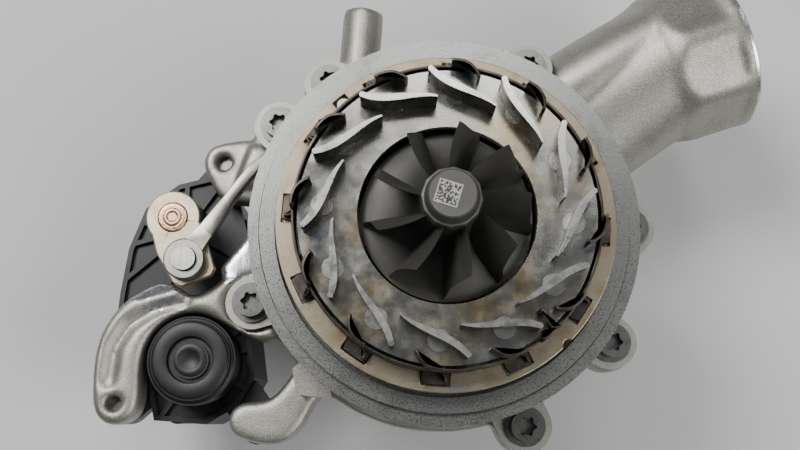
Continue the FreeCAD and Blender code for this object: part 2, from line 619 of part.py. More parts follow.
def vtg_lever():
    top = VTG_LEVER_Z + VTG_LEVER_THICK
    body = bar(VTG_SHAFT, LINK_FAR, 7.0, VTG_LEVER_Z, top)
    boss = rod(6.0, VTG_LEVER_Z, top + 2, *VTG_SHAFT)
    shaft = rod(VTG_SHAFT_R, VTG_LEVER_Z, 114.0, *VTG_SHAFT)
    pin = rod(FAR_PIN_R, LINK_Z - 0.5, VTG_LEVER_Z, *LINK_FAR)
    return one_solid(body.fuse([boss, shaft, pin]))


def vtg_inner_lever():
    tip = polar(INNER_LEVER_TIP_R, 135.0)
    z0, z1 = RECESS_Z + 0.8, RECESS_Z + 3.8
    body = bar(VTG_SHAFT, (tip.x, tip.y), 5.5, z0, z1).fuse(rod(4.8, z0, z1, *VTG_SHAFT))
    body = body.fuse(rod(1.8, z1, RING_Z + RING_THICK - 0.3, tip.x, tip.y))
    return one_solid(body.cut(rod(VTG_SHAFT_R, z0 - 1, z1 + 1, *VTG_SHAFT)))


def link_rod():
    top = LINK_Z + LINK_THICK
    near = rod(6.4, LINK_Z, top, *LINK_PIN)
    far = rod(6.6, LINK_Z, top, *LINK_FAR)
    strap = [bar(LINK_PIN, LINK_KNEE, 5.2, LINK_Z, top), bar(LINK_KNEE, LINK_FAR, 5.2, LINK_Z, top)]
    body = near.fuse([far] + strap)
    near_hole = rod(LINK_PIN_R + 0.05, LINK_Z - 1, top + 1, *LINK_PIN)
    far_hole = rod(FAR_EYE_R, LINK_Z - 1, top + 1, *LINK_FAR)
    return one_solid(body.cut([near_hole, far_hole]))


def link_pin():
    z0 = ARM_LEVER_Z - 0.8
    body = rod(LINK_PIN_R, z0, LINK_Z + LINK_THICK + 0.4, *LINK_PIN)
    return one_solid(body.fuse(rod(3.7, LINK_Z + LINK_THICK + 0.4, LINK_Z + LINK_THICK + 1.4, *LINK_PIN)))


def actuator_lever():
    top = ARM_LEVER_Z + ARM_LEVER_THICK
    x, y = ACTUATOR_SHAFT
    outline = [(-92.1, 2.7), (-90.9, 0.1), (-87.5, -9.0), (-81.5, -17.6), (-78.6, -18.6), (-70.0, -14.6),
               (-69.0, -12.3), (-71.6, -5.8), (-75.5, 2.3)]
    body = rod(8.4, ARM_LEVER_Z, top, x, y).fuse(prism(outline, ARM_LEVER_Z, top))
    return one_solid(body.cut([rod(SHAFT_END_R, 70, 90, x, y), rod(LINK_PIN_R, 70, 90, *LINK_PIN)]))


def actuator_shaft():
    x, y = ACTUATOR_SHAFT
    body = rod(GEAR_SHAFT_R, CASE_FLOOR_Z + 2, ARM_LEVER_Z, x, y)
    return one_solid(body.fuse(rod(SHAFT_END_R, ARM_LEVER_Z, ARM_LEVER_Z + ARM_LEVER_THICK + 0.6, x, y)))


# --- actuator drive ---

def gear_outline(teeth, tooth_at, centre):
    """Involute teeth with a little backlash; one tooth points at tooth_at degrees."""
    pitch_r = GEAR_MODULE * teeth / 2
    base_r = pitch_r * math.cos(math.radians(20))
    tip_r = pitch_r + 0.9 * GEAR_MODULE
    root_r = pitch_r - 1.15 * GEAR_MODULE
    pressure = math.radians(20)
    half_pitch = math.pi / (2 * teeth) - 0.05 / pitch_r + math.tan(pressure) - pressure
    flank = []
    for k in range(5):
        radius = max(base_r, root_r) + (tip_r - max(base_r, root_r)) * k / 4
        roll = math.acos(min(1.0, base_r / radius))
        flank.append((radius, half_pitch - (math.tan(roll) - roll)))
    if root_r < base_r:
        flank.insert(0, (root_r, flank[0][1]))
    points = []
    for tooth in range(teeth):
        middle = math.radians(tooth_at) + 2 * math.pi * tooth / teeth
        side = [(r, middle - a) for r, a in flank] + [(r, middle + a) for r, a in reversed(flank)]
        points += [(centre[0] + r * math.cos(a), centre[1] + r * math.sin(a)) for r, a in side]
    return points


def mesh_angle(start, end):
    return math.degrees(math.atan2(end[1] - start[1], end[0] - start[0]))


def idler_axis():
    """The idler sits where both of its meshes have their pitch distance."""
    to_sector = GEAR_MODULE * (SECTOR_TEETH + IDLER_SMALL_TEETH) / 2
    to_pinion = GEAR_MODULE * (IDLER_LARGE_TEETH + PINION_TEETH) / 2
    span = math.dist(ACTUATOR_SHAFT, MOTOR_AXIS)
    turn = math.degrees(math.acos((to_sector ** 2 + span ** 2 - to_pinion ** 2) / (2 * to_sector * span)))
    place = polar(to_sector, mesh_angle(ACTUATOR_SHAFT, MOTOR_AXIS) - turn)
    return (ACTUATOR_SHAFT[0] + place.x, ACTUATOR_SHAFT[1] + place.y)


def sector_gear():
    x, y = ACTUATOR_SHAFT
    towards = mesh_angle(ACTUATOR_SHAFT, idler_axis())
    gear = prism(gear_outline(SECTOR_TEETH, towards, ACTUATOR_SHAFT), 38.5, 43.5)
    reach = 40.0
    wedge = [(x, y)]
    for degrees in (towards - 36, towards, towards + 32):
        edge = polar(reach, degrees)
        wedge.append((x + edge.x, y + edge.y))
    body = gear.common(prism(wedge, 38.5, 43.5)).fuse(rod(8.0, 38.5, 43.5, x, y))
    return one_solid(body.cut(rod(GEAR_SHAFT_R, 30, 50, x, y)))


def intermediate_gear():
    axis = idler_axis()
    large_tooth = mesh_angle(axis, MOTOR_AXIS)
    small_gap = mesh_angle(axis, ACTUATOR_SHAFT) + 180.0 / IDLER_SMALL_TEETH
    large = prism(gear_outline(IDLER_LARGE_TEETH, large_tooth, axis), 32.0, 36.5)
    small = prism(gear_outline(IDLER_SMALL_TEETH, small_gap, axis), 36.5, 45.0)
    return one_solid(large.fuse(small).cut(rod(IDLER_PIN_R + 0.05, 30, 50, *axis)))


def motor_rotor():
    gap = mesh_angle(MOTOR_AXIS, idler_axis()) + 180.0 / PINION_TEETH
    pinion = prism(gear_outline(PINION_TEETH, gap, MOTOR_AXIS), 31.5, 38.5)
    body = pinion.fuse([rod(1.5, 30.5, 69.5, *MOTOR_AXIS), rod(8.5, 46, 64, *MOTOR_AXIS)])
    return one_solid(body)


def motor_can():
    x, y = MOTOR_AXIS
    body = rod(12.1, 41, 71, x, y)
    inside = rod(11.0, 42.5, 66.5, x, y)
    return one_solid(body.cut([inside, rod(1.55, 40, 70, x, y)]))


def inset_prism(outline, distance, z0, z1):
    """A prism of the outline moved inwards."""
    points = [vec(x, y, z0) for x, y in outline]
    face = Part.Face(Part.makePolygon(points + [points[0]]))
    return face.makeOffset2D(-distance).extrude(vec(0, 0, z1 - z0))


def case_ribs():
    """The rim and the stiffening ribs on the gearcase roof."""
    low, high = CASE_TOP_Z - 1.0, RIB_TOP_Z
    rim = prism(CASE_OUTLINE, low, high).cut(inset_prism(CASE_OUTLINE, 1.6, low - 1, high + 1))
    rays = []
    for centre, angles in ((ACTUATOR_SHAFT, (60, 95, 125, 150, 175, 200, 225, 335)),
                           (MOTOR_AXIS, (20, 45, 70, 190, 215, 240, 300, 335))):
        for degrees in angles:
            far = polar(40.0, degrees)
            rays.append(bar(centre, (centre[0] + far.x, centre[1] + far.y), 1.5, low, high))
    inside = prism(CASE_OUTLINE, low, high)
    return [rim, rod(4.0, low, RIB_TOP_Z + 0.2, -90.6, -15.3)] + [ray.common(inside) for ray in rays]


def actuator_housing():
    room = inset_prism(CASE_OUTLINE, CASE_WALL, CASE_FLOOR_Z - 1, CASE_TOP_Z - CASE_WALL)
    shell = prism(CASE_OUTLINE, CASE_FLOOR_Z, CASE_TOP_Z).cut(room)
    posts = rods_at(COVER_SCREW_PLACES, 3.6, CASE_FLOOR_Z, CASE_TOP_Z)
    motor_tube = rod(13.8, 40.0, 72.0, *MOTOR_AXIS).fuse(rod(12.3, 72.0, 74.0, *MOTOR_AXIS))
    shaft_boss = rod(8.5, CASE_TOP_Z - 13, 73.0, *ACTUATOR_SHAFT)
    ears = rods_at(SCREW_PLACES, 6.5, 50.0, ARM_BOTTOM_Z)
    ears += [bar(place, root, 13.0, 50.0, CASE_TOP_Z) for place, root in zip(SCREW_PLACES, EAR_ROOTS)]
    body = shell.fuse(posts + [motor_tube, shaft_boss] + [ear.cut(room) for ear in ears] + case_ribs())
    cap_ring = tube(7.5, 5.8, 72.6, 75, *MOTOR_AXIS)
    cuts = [rod(12.15, 39, 71.0, *MOTOR_AXIS), rod(GEAR_SHAFT_R + 0.05, 30, 80, *ACTUATOR_SHAFT), cap_ring]
    cuts += rods_at(SCREW_PLACES, SCREW_SHANK_R + 0.2, 40, 62)
    cuts += rods_at(COVER_SCREW_PLACES, COVER_SCREW_SHANK_R, CASE_FLOOR_Z - 1, CASE_FLOOR_Z + 12)
    return one_solid(body.cut(cuts))


def actuator_cover():
    lid = prism(CASE_OUTLINE, CASE_FLOOR_Z - 3, CASE_FLOOR_Z)
    idler_pin = rod(IDLER_PIN_R, CASE_FLOOR_Z - 1, 48, *idler_axis())
    shoulder = rod(4.0, CASE_FLOOR_Z - 1, 31.6, *idler_axis())
    seat = tube(7.0, GEAR_SHAFT_R + 0.05, CASE_FLOOR_Z - 1, CASE_FLOOR_Z + 6, *ACTUATOR_SHAFT)
    body = lid.fuse([idler_pin, shoulder, seat])
    holes = rods_at(COVER_SCREW_PLACES, COVER_SCREW_SHANK_R + 0.1, CASE_FLOOR_Z - 4, CASE_FLOOR_Z + 1)
    return one_solid(body.cut(holes))


def cover_screws():
    screws = []
    for x, y in COVER_SCREW_PLACES:
        head = rod(3.0, CASE_FLOOR_Z - 5.2, CASE_FLOOR_Z - 3, x, y)
        screw = head.fuse(rod(COVER_SCREW_SHANK_R, CASE_FLOOR_Z - 3, CASE_FLOOR_Z + 10, x, y))
        screws.append(one_solid(screw.cut(star_socket(1.5, CASE_FLOOR_Z - 6, CASE_FLOOR_Z - 4.2, x, y))))
    return Part.makeCompound(screws)


def actuator_screws():
    screws = []
    for (x, y), top in zip(SCREW_PLACES, SCREW_TOPS_Z):
        screw = rod(4.5, 46, 50, x, y).fuse(rod(SCREW_SHANK_R, 50, top, x, y))
        screws.append(one_solid(screw.cut(star_socket(2.4, 45, 47.8, x, y))))
    return Part.makeCompound(screws)


PARTS = {
    "compressor_housing": compressor_housing,
    "compressor_backplate": compressor_backplate,
    "backplate_seal": backplate_seal,
    "outlet_seal": outlet_seal,
    "housing_bolts": housing_bolts,
    "bearing_housing": bearing_housing,
    "bearing_housing_screws": bearing_housing_screws,
    "heat_shield": heat_shield,
    "journal_bearing": journal_bearing,
    "bearing_pin": bearing_pin,
    "thrust_bearing": thrust_bearing,
    "thrust_collar": thrust_collar,
    "piston_rings": piston_rings,
    "rotor_shaft": rotor_shaft,
    "turbine_wheel": turbine_wheel,
    "compressor_wheel": compressor_wheel,
    "compressor_nut": compressor_nut,
    "nozzle_plate": nozzle_plate,
    "ring_guide_pins": ring_guide_pins,
    "unison_ring": unison_ring,
    "guide_band": guide_band,
    "vtg_bush": vtg_bush,
    "vtg_lever": vtg_lever,
    "vtg_inner_lever": vtg_inner_lever,
    "link_rod": link_rod,
    "link_pin": link_pin,
    "actuator_lever": actuator_lever,
    "actuator_shaft": actuator_shaft,
    "sector_gear": sector_gear,
    "intermediate_gear": intermediate_gear,
    "motor_rotor": motor_rotor,
    "motor_can": motor_can,
    "actuator_housing": actuator_housing,
    "actuator_cover": actuator_cover,
    "cover_screws": cover_screws,
    "actuator_screws": actuator_screws,
}

os.makedirs("parts", exist_ok=True)
for node, make in PARTS.items():
    export(make(), node)
for number in range(VANE_COUNT):
    export(vane(number), "vane_%02d" % (number + 1))
    export(vane_lever(number), "vane_lever_%02d" % (number + 1))
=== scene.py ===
import json
import math
import random
import bmesh
import bpy
from bpy.props import FloatProperty, FloatVectorProperty, IntProperty, PointerProperty
from mathutils import Matrix, Vector


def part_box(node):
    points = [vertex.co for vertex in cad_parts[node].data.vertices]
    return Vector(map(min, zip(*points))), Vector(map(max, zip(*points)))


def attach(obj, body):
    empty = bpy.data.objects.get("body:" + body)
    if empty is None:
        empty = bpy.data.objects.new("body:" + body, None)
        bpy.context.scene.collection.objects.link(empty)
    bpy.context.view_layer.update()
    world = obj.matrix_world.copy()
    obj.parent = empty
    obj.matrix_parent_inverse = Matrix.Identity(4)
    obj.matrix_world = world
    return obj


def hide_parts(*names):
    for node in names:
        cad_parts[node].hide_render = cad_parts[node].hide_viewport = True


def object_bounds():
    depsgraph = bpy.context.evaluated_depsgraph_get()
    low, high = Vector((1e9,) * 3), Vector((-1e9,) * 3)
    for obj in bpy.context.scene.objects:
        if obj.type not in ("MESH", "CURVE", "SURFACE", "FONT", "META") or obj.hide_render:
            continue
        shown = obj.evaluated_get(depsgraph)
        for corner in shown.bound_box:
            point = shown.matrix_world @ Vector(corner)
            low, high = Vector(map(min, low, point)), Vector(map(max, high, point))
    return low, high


bl_info = {
    "name": "Vane Turbocharger Builder",
    "version": (1, 0, 0),
    "blender": (4, 5, 0),
    "location": "View3D > Sidebar > Turbo",
    "description": "Builds the castings, wheels, actuator and finishes of a variable-vane turbocharger",
    "category": "Object",
}

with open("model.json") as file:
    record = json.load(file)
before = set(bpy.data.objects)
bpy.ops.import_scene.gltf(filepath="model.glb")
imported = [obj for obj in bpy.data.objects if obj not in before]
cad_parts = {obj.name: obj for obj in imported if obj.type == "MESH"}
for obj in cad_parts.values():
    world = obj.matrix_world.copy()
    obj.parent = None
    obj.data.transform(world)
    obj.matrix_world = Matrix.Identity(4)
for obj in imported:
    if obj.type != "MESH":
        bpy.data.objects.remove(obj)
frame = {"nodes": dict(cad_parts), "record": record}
CAD_BOUNDS = [list(corner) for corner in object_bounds()]
MM = 0.001
NODES = frame["nodes"]
JOINTS = {joint["name"]: joint for joint in frame["record"]["behaviour"]["joints"]}
MOUNTS = {mount["name"]: mount for mount in frame["record"]["mounts"]}
FLANGE_Z = MOUNTS["turbine_flange"]["pos_m"][2]
BACKPLATE_SPIGOT = 4 * MM
SPLIT_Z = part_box("compressor_backplate")[0][2] + BACKPLATE_SPIGOT
ARM_TOP = SPLIT_Z + 2.5 * MM
ARM_HEIGHT = 13.5 * MM
ARM_BOTTOM = ARM_TOP - ARM_HEIGHT
OUTLET = MOUNTS["compressor_outlet"]
OUTLET_FACE = Vector(OUTLET["pos_m"])
OUTLET_AXIS = Vector(OUTLET["axis"]).normalized()
OUTLET_BORE = OUTLET["dims"]["r_mm"] * MM
ARM_PIVOT = Vector(JOINTS["actuator_turn"]["pos_m"])
LINK_PIVOT = Vector(JOINTS["link_swing"]["pos_m"])
MOTOR_AXIS = Vector(JOINTS["motor_spin"]["pos_m"])
PAD_Z = SPLIT_Z + 1.2 * MM
SCREW_SEATS = [(-97.0, -55.5), (-71.6, 24.2), (-53.0, -58.5)]
DOUBLES = 1e-6


# ---------------------------------------------------------------- sizes and colours

class CastingSettings(bpy.types.PropertyGroup):
    voxel: FloatProperty(name="Grain of the form", description="Voxel size of the cast surface",
                         default=1.1 * MM, min=0.6 * MM, max=3 * MM, subtype="DISTANCE", unit="LENGTH")
    softening: IntProperty(name="Softening", description="Rounds of smoothing that fillet the casting",
                           default=7, min=0, max=30)
    colour: FloatVectorProperty(name="Cast colour", description="Base colour of the sand-cast aluminium",
                                size=3, default=(0.37, 0.355, 0.31), min=0, max=1, subtype="COLOR")


class WheelSettings(bpy.types.PropertyGroup):
    turbine_blades: IntProperty(name="Turbine blades", description="Number of turbine blades", default=9,
                                min=3, max=20)
    compressor_blades: IntProperty(name="Compressor blades",
                                   description="Full blades; as many splitters stand between", default=6,
                                   min=3, max=12)
    colour: FloatVectorProperty(name="Turbine colour", description="Base colour of the turbine alloy", size=3,
                                default=(0.105, 0.103, 0.095), min=0, max=1, subtype="COLOR")


class StageSettings(bpy.types.PropertyGroup):
    floor_colour: FloatVectorProperty(name="Floor colour", description="Colour of the plain floor", size=3,
                                      default=(0.66, 0.66, 0.65), min=0, max=1, subtype="COLOR")
    lens: FloatProperty(name="Lens", description="Focal length of the camera", default=45.0, min=10, max=200)
    key_power: FloatProperty(name="Key light", description="Power of the main soft light", default=7.5, min=0,
                             unit="POWER")


# ---------------------------------------------------------------- mesh helpers

def plan(x, y, z=0.0):
    return Vector((x * MM, y * MM, z))


def add_spin(bm, profile, centre=(0.0, 0.0), segments=96):
    """Turns an outline of (radius, height) pairs, in millimetres and metres, about an upright axis."""
    before = set(bm.verts)
    axis = plan(*centre)
    verts = [bm.verts.new(axis + Vector((radius * MM, 0.0, height))) for radius, height in profile]
    edges = [bm.edges.new((a, b)) for a, b in zip(verts, verts[1:])]
    if profile[0][0] > 0 or profile[-1][0] > 0:
        edges.append(bm.edges.new((verts[-1], verts[0])))
    bmesh.ops.spin(bm, geom=verts + edges, cent=axis, axis=(0, 0, 1), angle=math.tau, steps=segments,
                   use_merge=True)
    fresh = [vert for vert in bm.verts if vert not in before]
    bmesh.ops.remove_doubles(bm, verts=fresh, dist=DOUBLES)
    return [vert for vert in bm.verts if vert not in before]


def add_slab(bm, outline, low, high, edge=0.0, segments=3):
    """A plate of an outline in millimetres between two heights in metres; its rims may be rounded."""
    verts = [bm.verts.new(plan(x, y, low)) for x, y in outline]
    face = bm.faces.new(verts)
    result = bmesh.ops.extrude_face_region(bm, geom=[face])
    raised = [item for item in result["geom"] if isinstance(item, bmesh.types.BMVert)]
    bmesh.ops.translate(bm, verts=raised, vec=(0, 0, high - low))
    faces = set(face_of for vert in verts + raised for face_of in vert.link_faces)
    bmesh.ops.recalc_face_normals(bm, faces=list(faces))
    if edge > 0:
        rims = [e for e in set(e for vert in verts + raised for e in vert.link_edges)
                if abs(e.verts[0].co.z - e.verts[1].co.z) < 1e-7]
        bmesh.ops.bevel(bm, geom=rims, offset=edge, segments=segments, affect="EDGES", profile=0.5,
                        material=-1)


def add_loft(bm, rings, segments=64):
    """Joins round sections, each given as a matrix that places a unit circle."""
    first = bmesh.ops.create_circle(bm, cap_ends=False, segments=segments, radius=1.0, matrix=rings[0])
    edges = list(set(e for vert in first["verts"] for e in vert.link_edges))
    bmesh.ops.edgenet_fill(bm, edges=edges)
    for previous, ring in zip(rings, rings[1:]):
        result = bmesh.ops.extrude_edge_only(bm, edges=edges)
        verts = [item for item in result["geom"] if isinstance(item, bmesh.types.BMVert)]
        edges = [item for item in result["geom"] if isinstance(item, bmesh.types.BMEdge)]
        edges = [e for e in edges if all(vert in verts for vert in e.verts)]
        bmesh.ops.transform(bm, matrix=ring @ previous.inverted(), verts=verts)
    bmesh.ops.edgenet_fill(bm, edges=edges)
    bmesh.ops.recalc_face_normals(bm, faces=bm.faces)


def section(centre, along, half_width, half_height):
    """The matrix of an elliptic section across a passage that runs level or nearly so."""
    forward = Vector(along).normalized()
    side = Vector((0, 0, 1)).cross(forward).normalized()
    rise = forward.cross(side)
    turn = Matrix((side, rise, forward)).transposed().to_4x4()
    return Matrix.Translation(centre) @ turn @ Matrix.Diagonal((half_width, half_height, 1.0, 1.0))


def mesh_object(name, bm):
    mesh = bpy.data.meshes.new(name)
    bm.to_mesh(mesh)
    bm.free()
    made = bpy.data.objects.new(name, mesh)
    bpy.context.scene.collection.objects.link(made)
    return made


def keep_evaluated(made):
    """Puts the result of an object's modifiers into its mesh."""
    graph = bpy.context.evaluated_depsgraph_get()
    graph.update()
    final = bpy.data.meshes.new_from_object(made.evaluated_get(graph))
    made.modifiers.clear()
    made.data = final


def cast(made, voxel, softening):
    """Melts overlapping forms into one skin and softens its corners, as a sand casting has them."""
    remesh = made.modifiers.new("Skin", "REMESH")
    remesh.mode = "VOXEL"
    remesh.voxel_size = voxel
    smooth = made.modifiers.new("Soften", "SMOOTH")
    smooth.factor = 0.5
    smooth.iterations = softening
    keep_evaluated(made)


def finish_piece(made, body, material, angle=35.0):
    made.data.materials.append(material)
    made.data.shade_smooth()
    made.data.set_sharp_from_angle(angle=math.radians(angle))
    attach(made, body)
    return made


# ---------------------------------------------------------------- shader groups

def group(name, inputs, outputs):
    tree = bpy.data.node_groups.new(name, "ShaderNodeTree")
    for label, kind, default in inputs:
        socket = tree.interface.new_socket(label, in_out="INPUT", socket_type=kind)
        if default is not None:
            socket.default_value = default
    for label, kind in outputs:
        tree.interface.new_socket(label, in_out="OUTPUT", socket_type=kind)
    return tree, tree.nodes.new("NodeGroupInput"), tree.nodes.new("NodeGroupOutput")


def feed(tree, socket, value):
    """Sets a socket to a number or a colour, or links it to an output."""
    if isinstance(value, (int, float)):
        socket.default_value = value
    elif isinstance(value, (tuple, list)):
        socket.default_value = (*value[:3], 1.0)
    else:
        tree.links.new(value, socket)


def math_node(tree, operation, first, second=None):
    node = tree.nodes.new("ShaderNodeMath")
    node.operation = operation
    feed(tree, node.inputs[0], first)
    if second is not None:
        feed(tree, node.inputs[1], second)
    return node.outputs[0]


def per_size(tree, size_mm):
    """Texture scale for a feature size in millimetres."""
    return math_node(tree, "DIVIDE", 1000.0, size_mm)


def ranged(tree, value, low, high, out_low=0.0, out_high=1.0):
    node = tree.nodes.new("ShaderNodeMapRange")
    tree.links.new(value, node.inputs["Value"])
    for label, setting in zip(("From Min", "From Max", "To Min", "To Max"), (low, high, out_low, out_high)):
        feed(tree, node.inputs[label], setting)
    return node.outputs[0]


def noise_value(tree, vector, scale, detail=3.0, roughness=0.6):
    node = tree.nodes.new("ShaderNodeTexNoise")
    node.inputs["Detail"].default_value = detail
    node.inputs["Roughness"].default_value = roughness
    tree.links.new(vector, node.inputs["Vector"])
    feed(tree, node.inputs["Scale"], scale)
    return node.outputs["Fac"]


def mixed(tree, factor, first, second, blend="MIX"):
    """Mixes two colours; the sockets are those that a colour mix uses."""
    node = tree.nodes.new("ShaderNodeMix")
    node.data_type = "RGBA"
    node.blend_type = blend
    for socket, value in zip((node.inputs[0], node.inputs[6], node.inputs[7]), (factor, first, second)):
        feed(tree, socket, value)
    return node.outputs[2]


def grain_group():
    """Fine grain of a cast, blasted or moulded surface."""
    tree, inside, outside = group("Grain", [("Vector", "NodeSocketVector", None), ("Size mm",
                                                                                   "NodeSocketFloat", 0.5)],
                                  [("Value", "NodeSocketFloat")])
    scale = per_size(tree, inside.outputs["Size mm"])
    value = noise_value(tree, inside.outputs["Vector"], scale, 4.0, 0.65)
    tree.links.new(value, outside.inputs["Value"])
    return tree


def tint_group():
    """Cloudy change between two colours, such as heat tint, oxide or handling marks."""
    tree, inside, outside = group(
        "Cloud Tint", [("Vector", "NodeSocketVector", None), ("Size mm", "NodeSocketFloat", 12.0),
                       ("Threshold", "NodeSocketFloat", 0.5), ("Base", "NodeSocketColor", (0.5, 0.5, 0.5, 1)),
                       ("Tint", "NodeSocketColor", (0.5, 0.5, 0.5, 1))], [("Color", "NodeSocketColor")])
    value = noise_value(tree, inside.outputs["Vector"], per_size(tree, inside.outputs["Size mm"]), 5.0, 0.6)
    cloud_edge = 0.22
    top = math_node(tree, "ADD", inside.outputs["Threshold"], cloud_edge)
    mask = ranged(tree, value, inside.outputs["Threshold"], top)
    tree.links.new(mixed(tree, mask, inside.outputs["Base"], inside.outputs["Tint"]), outside.inputs["Color"])
    return tree


def turning_group():
    """Fine rings left by a lathe tool about the rotor axis, broken up a little."""
    tree, inside, outside = group("Turning Marks", [("Vector", "NodeSocketVector", None),
                                                    ("Pitch mm", "NodeSocketFloat", 0.4)],
                                  [("Height", "NodeSocketFloat")])
    split = tree.nodes.new("ShaderNodeSeparateXYZ")
    tree.links.new(inside.outputs["Vector"], split.inputs[0])
    squares = [math_node(tree, "MULTIPLY", split.outputs[k], split.outputs[k]) for k in (0, 1)]
    radius = math_node(tree, "SQRT", math_node(tree, "ADD", *squares))
    phase = math_node(tree, "MULTIPLY", radius, math_node(tree, "DIVIDE", math.tau * 1000,
                                                          inside.outputs["Pitch mm"]))
    wander_scale, wander_reach = 400.0, 5.0
    wander = noise_value(tree, inside.outputs["Vector"], wander_scale, 2.0)
    phase = math_node(tree, "ADD", phase, math_node(tree, "MULTIPLY", wander, wander_reach))
    tree.links.new(math_node(tree, "SINE", phase), outside.inputs["Height"])
    return tree


def scratch_group():
    """Long crossing scratches, from two stretched noises."""
    tree, inside, outside = group(
        "Scratches", [("Vector", "NodeSocketVector", None), ("Size mm", "NodeSocketFloat", 1.0)], [("Value",
                                                                                                    "NodeSocketFloat")])
    marks = []
    angles, stretch = (0.5, 2.1), (1.0, 0.06, 1.0)
    for angle in angles:
        place = tree.nodes.new("ShaderNodeMapping")
        place.inputs["Rotation"].default_value = (0, 0, angle)
        place.inputs["Scale"].default_value = stretch
        tree.links.new(inside.outputs["Vector"], place.inputs["Vector"])
        value = noise_value(tree, place.outputs[0], per_size(tree, inside.outputs["Size mm"]), 3.0, 0.7)
        marks.append(ranged(tree, value, 0.35, 0.65))
    tree.links.new(math_node(tree, "MULTIPLY", *marks), outside.inputs["Value"])
    return tree


GROUPS = {}


def shared(name):
    """A shader group, built once."""
    makers = {"grain": grain_group, "tint": tint_group, "turning": turning_group, "scratch": scratch_group}
    if name not in GROUPS:
        GROUPS[name] = makers[name]()
    return GROUPS[name]


def use_group(tree, name, vector, **settings):
    """Places a shared group; an underscore in a setting stands for the space in its socket's name."""
    node = tree.nodes.new("ShaderNodeGroup")
    node.node_tree = shared(name)
    tree.links.new(vector, node.inputs["Vector"])
    for label, value in settings.items():
        feed(tree, node.inputs[label.replace("_", " ")], value)
    return node


SECOND_CLOUD_SHIFT = (0.37, 0.11, 0.23)
SPECK_EDGE = 0.06
# Normal heights across which a wall's painted shade gives way to the lit top colour.
PAINTED_WALL_SHADE_TO_TOP = (0.5, 0.85)
GRAIN_RANGE = (0.3, 0.7)
GRAIN_SHADE = (0.82, 1.0)
TURNING_PITCH_MM = 0.45
SCRATCH_SIZE_MM = 0.9
SCRATCH_ROUGHNESS = 0.12
RELIEF_STRENGTH = 0.6
RELIEF_DEPTH = 0.25 * MM


def finish_colour(tree, place, base, tint, cloud, threshold, second, specks, side):
    """The clouds of a finish, with its second tint, its specks and its painted shade on upright walls."""
    clouds = use_group(tree, "tint", place, Size_mm=cloud, Threshold=threshold, Base=base, Tint=tint)
    colour = clouds.outputs["Color"]
    if second:
        shade, size, level = second
        moved = tree.nodes.new("ShaderNodeMapping")
        moved.inputs["Location"].default_value = SECOND_CLOUD_SHIFT
        tree.links.new(place, moved.inputs["Vector"])
        clouds = use_group(tree, "tint", moved.outputs[0], Size_mm=size, Threshold=level, Base=colour,
                           Tint=shade)
        colour = clouds.outputs["Color"]
    if specks:
        shade, size, level = specks
        spots = use_group(tree, "grain", place, Size_mm=size).outputs["Value"]
        colour = mixed(tree, ranged(tree, spots, level, level + SPECK_EDGE), colour, shade)
    # Painted shade: faces that stand upright take the dark side colour, as if in shade, and faces that look up keep the
    # lit colour.
    if side:
        normal = tree.nodes.new("ShaderNodeNewGeometry")
        split = tree.nodes.new("ShaderNodeSeparateXYZ")
        tree.links.new(normal.outputs["Normal"], split.inputs[0])
        colour = mixed(tree, ranged(tree, split.outputs[2], *PAINTED_WALL_SHADE_TO_TOP), side, colour)
    return colour


def finish_material(name, base, tint, metallic=1.0, rough=(0.3, 0.5), cloud=12.0, threshold=0.5, grain=0.5,
                    bump=0.15, turning=0.0, scratch=0.0, specks=None, side=None, second=None):
    """One finish. Sizes are in mm; specks and second are each a colour, a size and a threshold; side is the painted
    shade colour of upright walls.
    """
    if name in bpy.data.materials:
        return bpy.data.materials[name]
    material = bpy.data.materials.new(name)
    material.use_nodes = True
    tree = material.node_tree
    shader = tree.nodes["Principled BSDF"]
    shader.inputs["Metallic"].default_value = metallic
    place = tree.nodes.new("ShaderNodeTexCoord").outputs["Object"]
    colour = finish_colour(tree, place, base, tint, cloud, threshold, second, specks, side)
    fine = use_group(tree, "grain", place, Size_mm=grain).outputs["Value"]
    shade = ranged(tree, fine, *GRAIN_RANGE, *GRAIN_SHADE)
    tree.links.new(mixed(tree, 1.0, colour, shade, blend="MULTIPLY"), shader.inputs["Base Color"])
    roughness = ranged(tree, fine, *GRAIN_RANGE, *rough)
    height = math_node(tree, "MULTIPLY", fine, bump)
    if turning > 0:
        marks = use_group(tree, "turning", place, Pitch_mm=TURNING_PITCH_MM).outputs["Height"]
        height = math_node(tree, "ADD", height, math_node(tree, "MULTIPLY", marks, turning))
    if scratch > 0:
        lines = use_group(tree, "scratch", place, Size_mm=SCRATCH_SIZE_MM).outputs["Value"]
        height = math_node(tree, "ADD", height, math_node(tree, "MULTIPLY", lines, scratch))
        roughness = math_node(tree, "ADD", roughness, math_node(tree, "MULTIPLY", lines, SCRATCH_ROUGHNESS))
    tree.links.new(roughness, shader.inputs["Roughness"])
    relief = tree.nodes.new("ShaderNodeBump")
    relief.inputs["Strength"].default_value = RELIEF_STRENGTH
    relief.inputs["Distance"].default_value = RELIEF_DEPTH
    tree.links.new(height, relief.inputs["Height"])
    tree.links.new(relief.outputs[0], shader.inputs["Normal"])
    return material


def cast_aluminium():
    colour = tuple(bpy.context.scene.turbo_casting.colour)
    return finish_material("Cast Aluminium", colour, (0.29, 0.275, 0.235), metallic=0.85, rough=(0.34, 0.56),
                           cloud=16.0, threshold=0.48, grain=0.5, bump=0.5, specks=((0.66, 0.65, 0.60), 0.28,
                                                                                    0.56))


def milled_aluminium():
    return finish_material("Milled Aluminium", (0.80, 0.80, 0.82), (0.70, 0.72, 0.78), rough=(0.16, 0.3),
                           cloud=5.0, grain=0.3, bump=0.05, scratch=0.15)


def turned_iron():
    return finish_material("Turned Iron", (0.30, 0.30, 0.285), (0.22, 0.215, 0.195), rough=(0.22, 0.42),
                           cloud=9.0, threshold=0.52, grain=0.5, bump=0.2, turning=0.02, specks=((0.12, 0.11,
                                                                                                  0.10), 0.6,
                                                                                                 0.69))


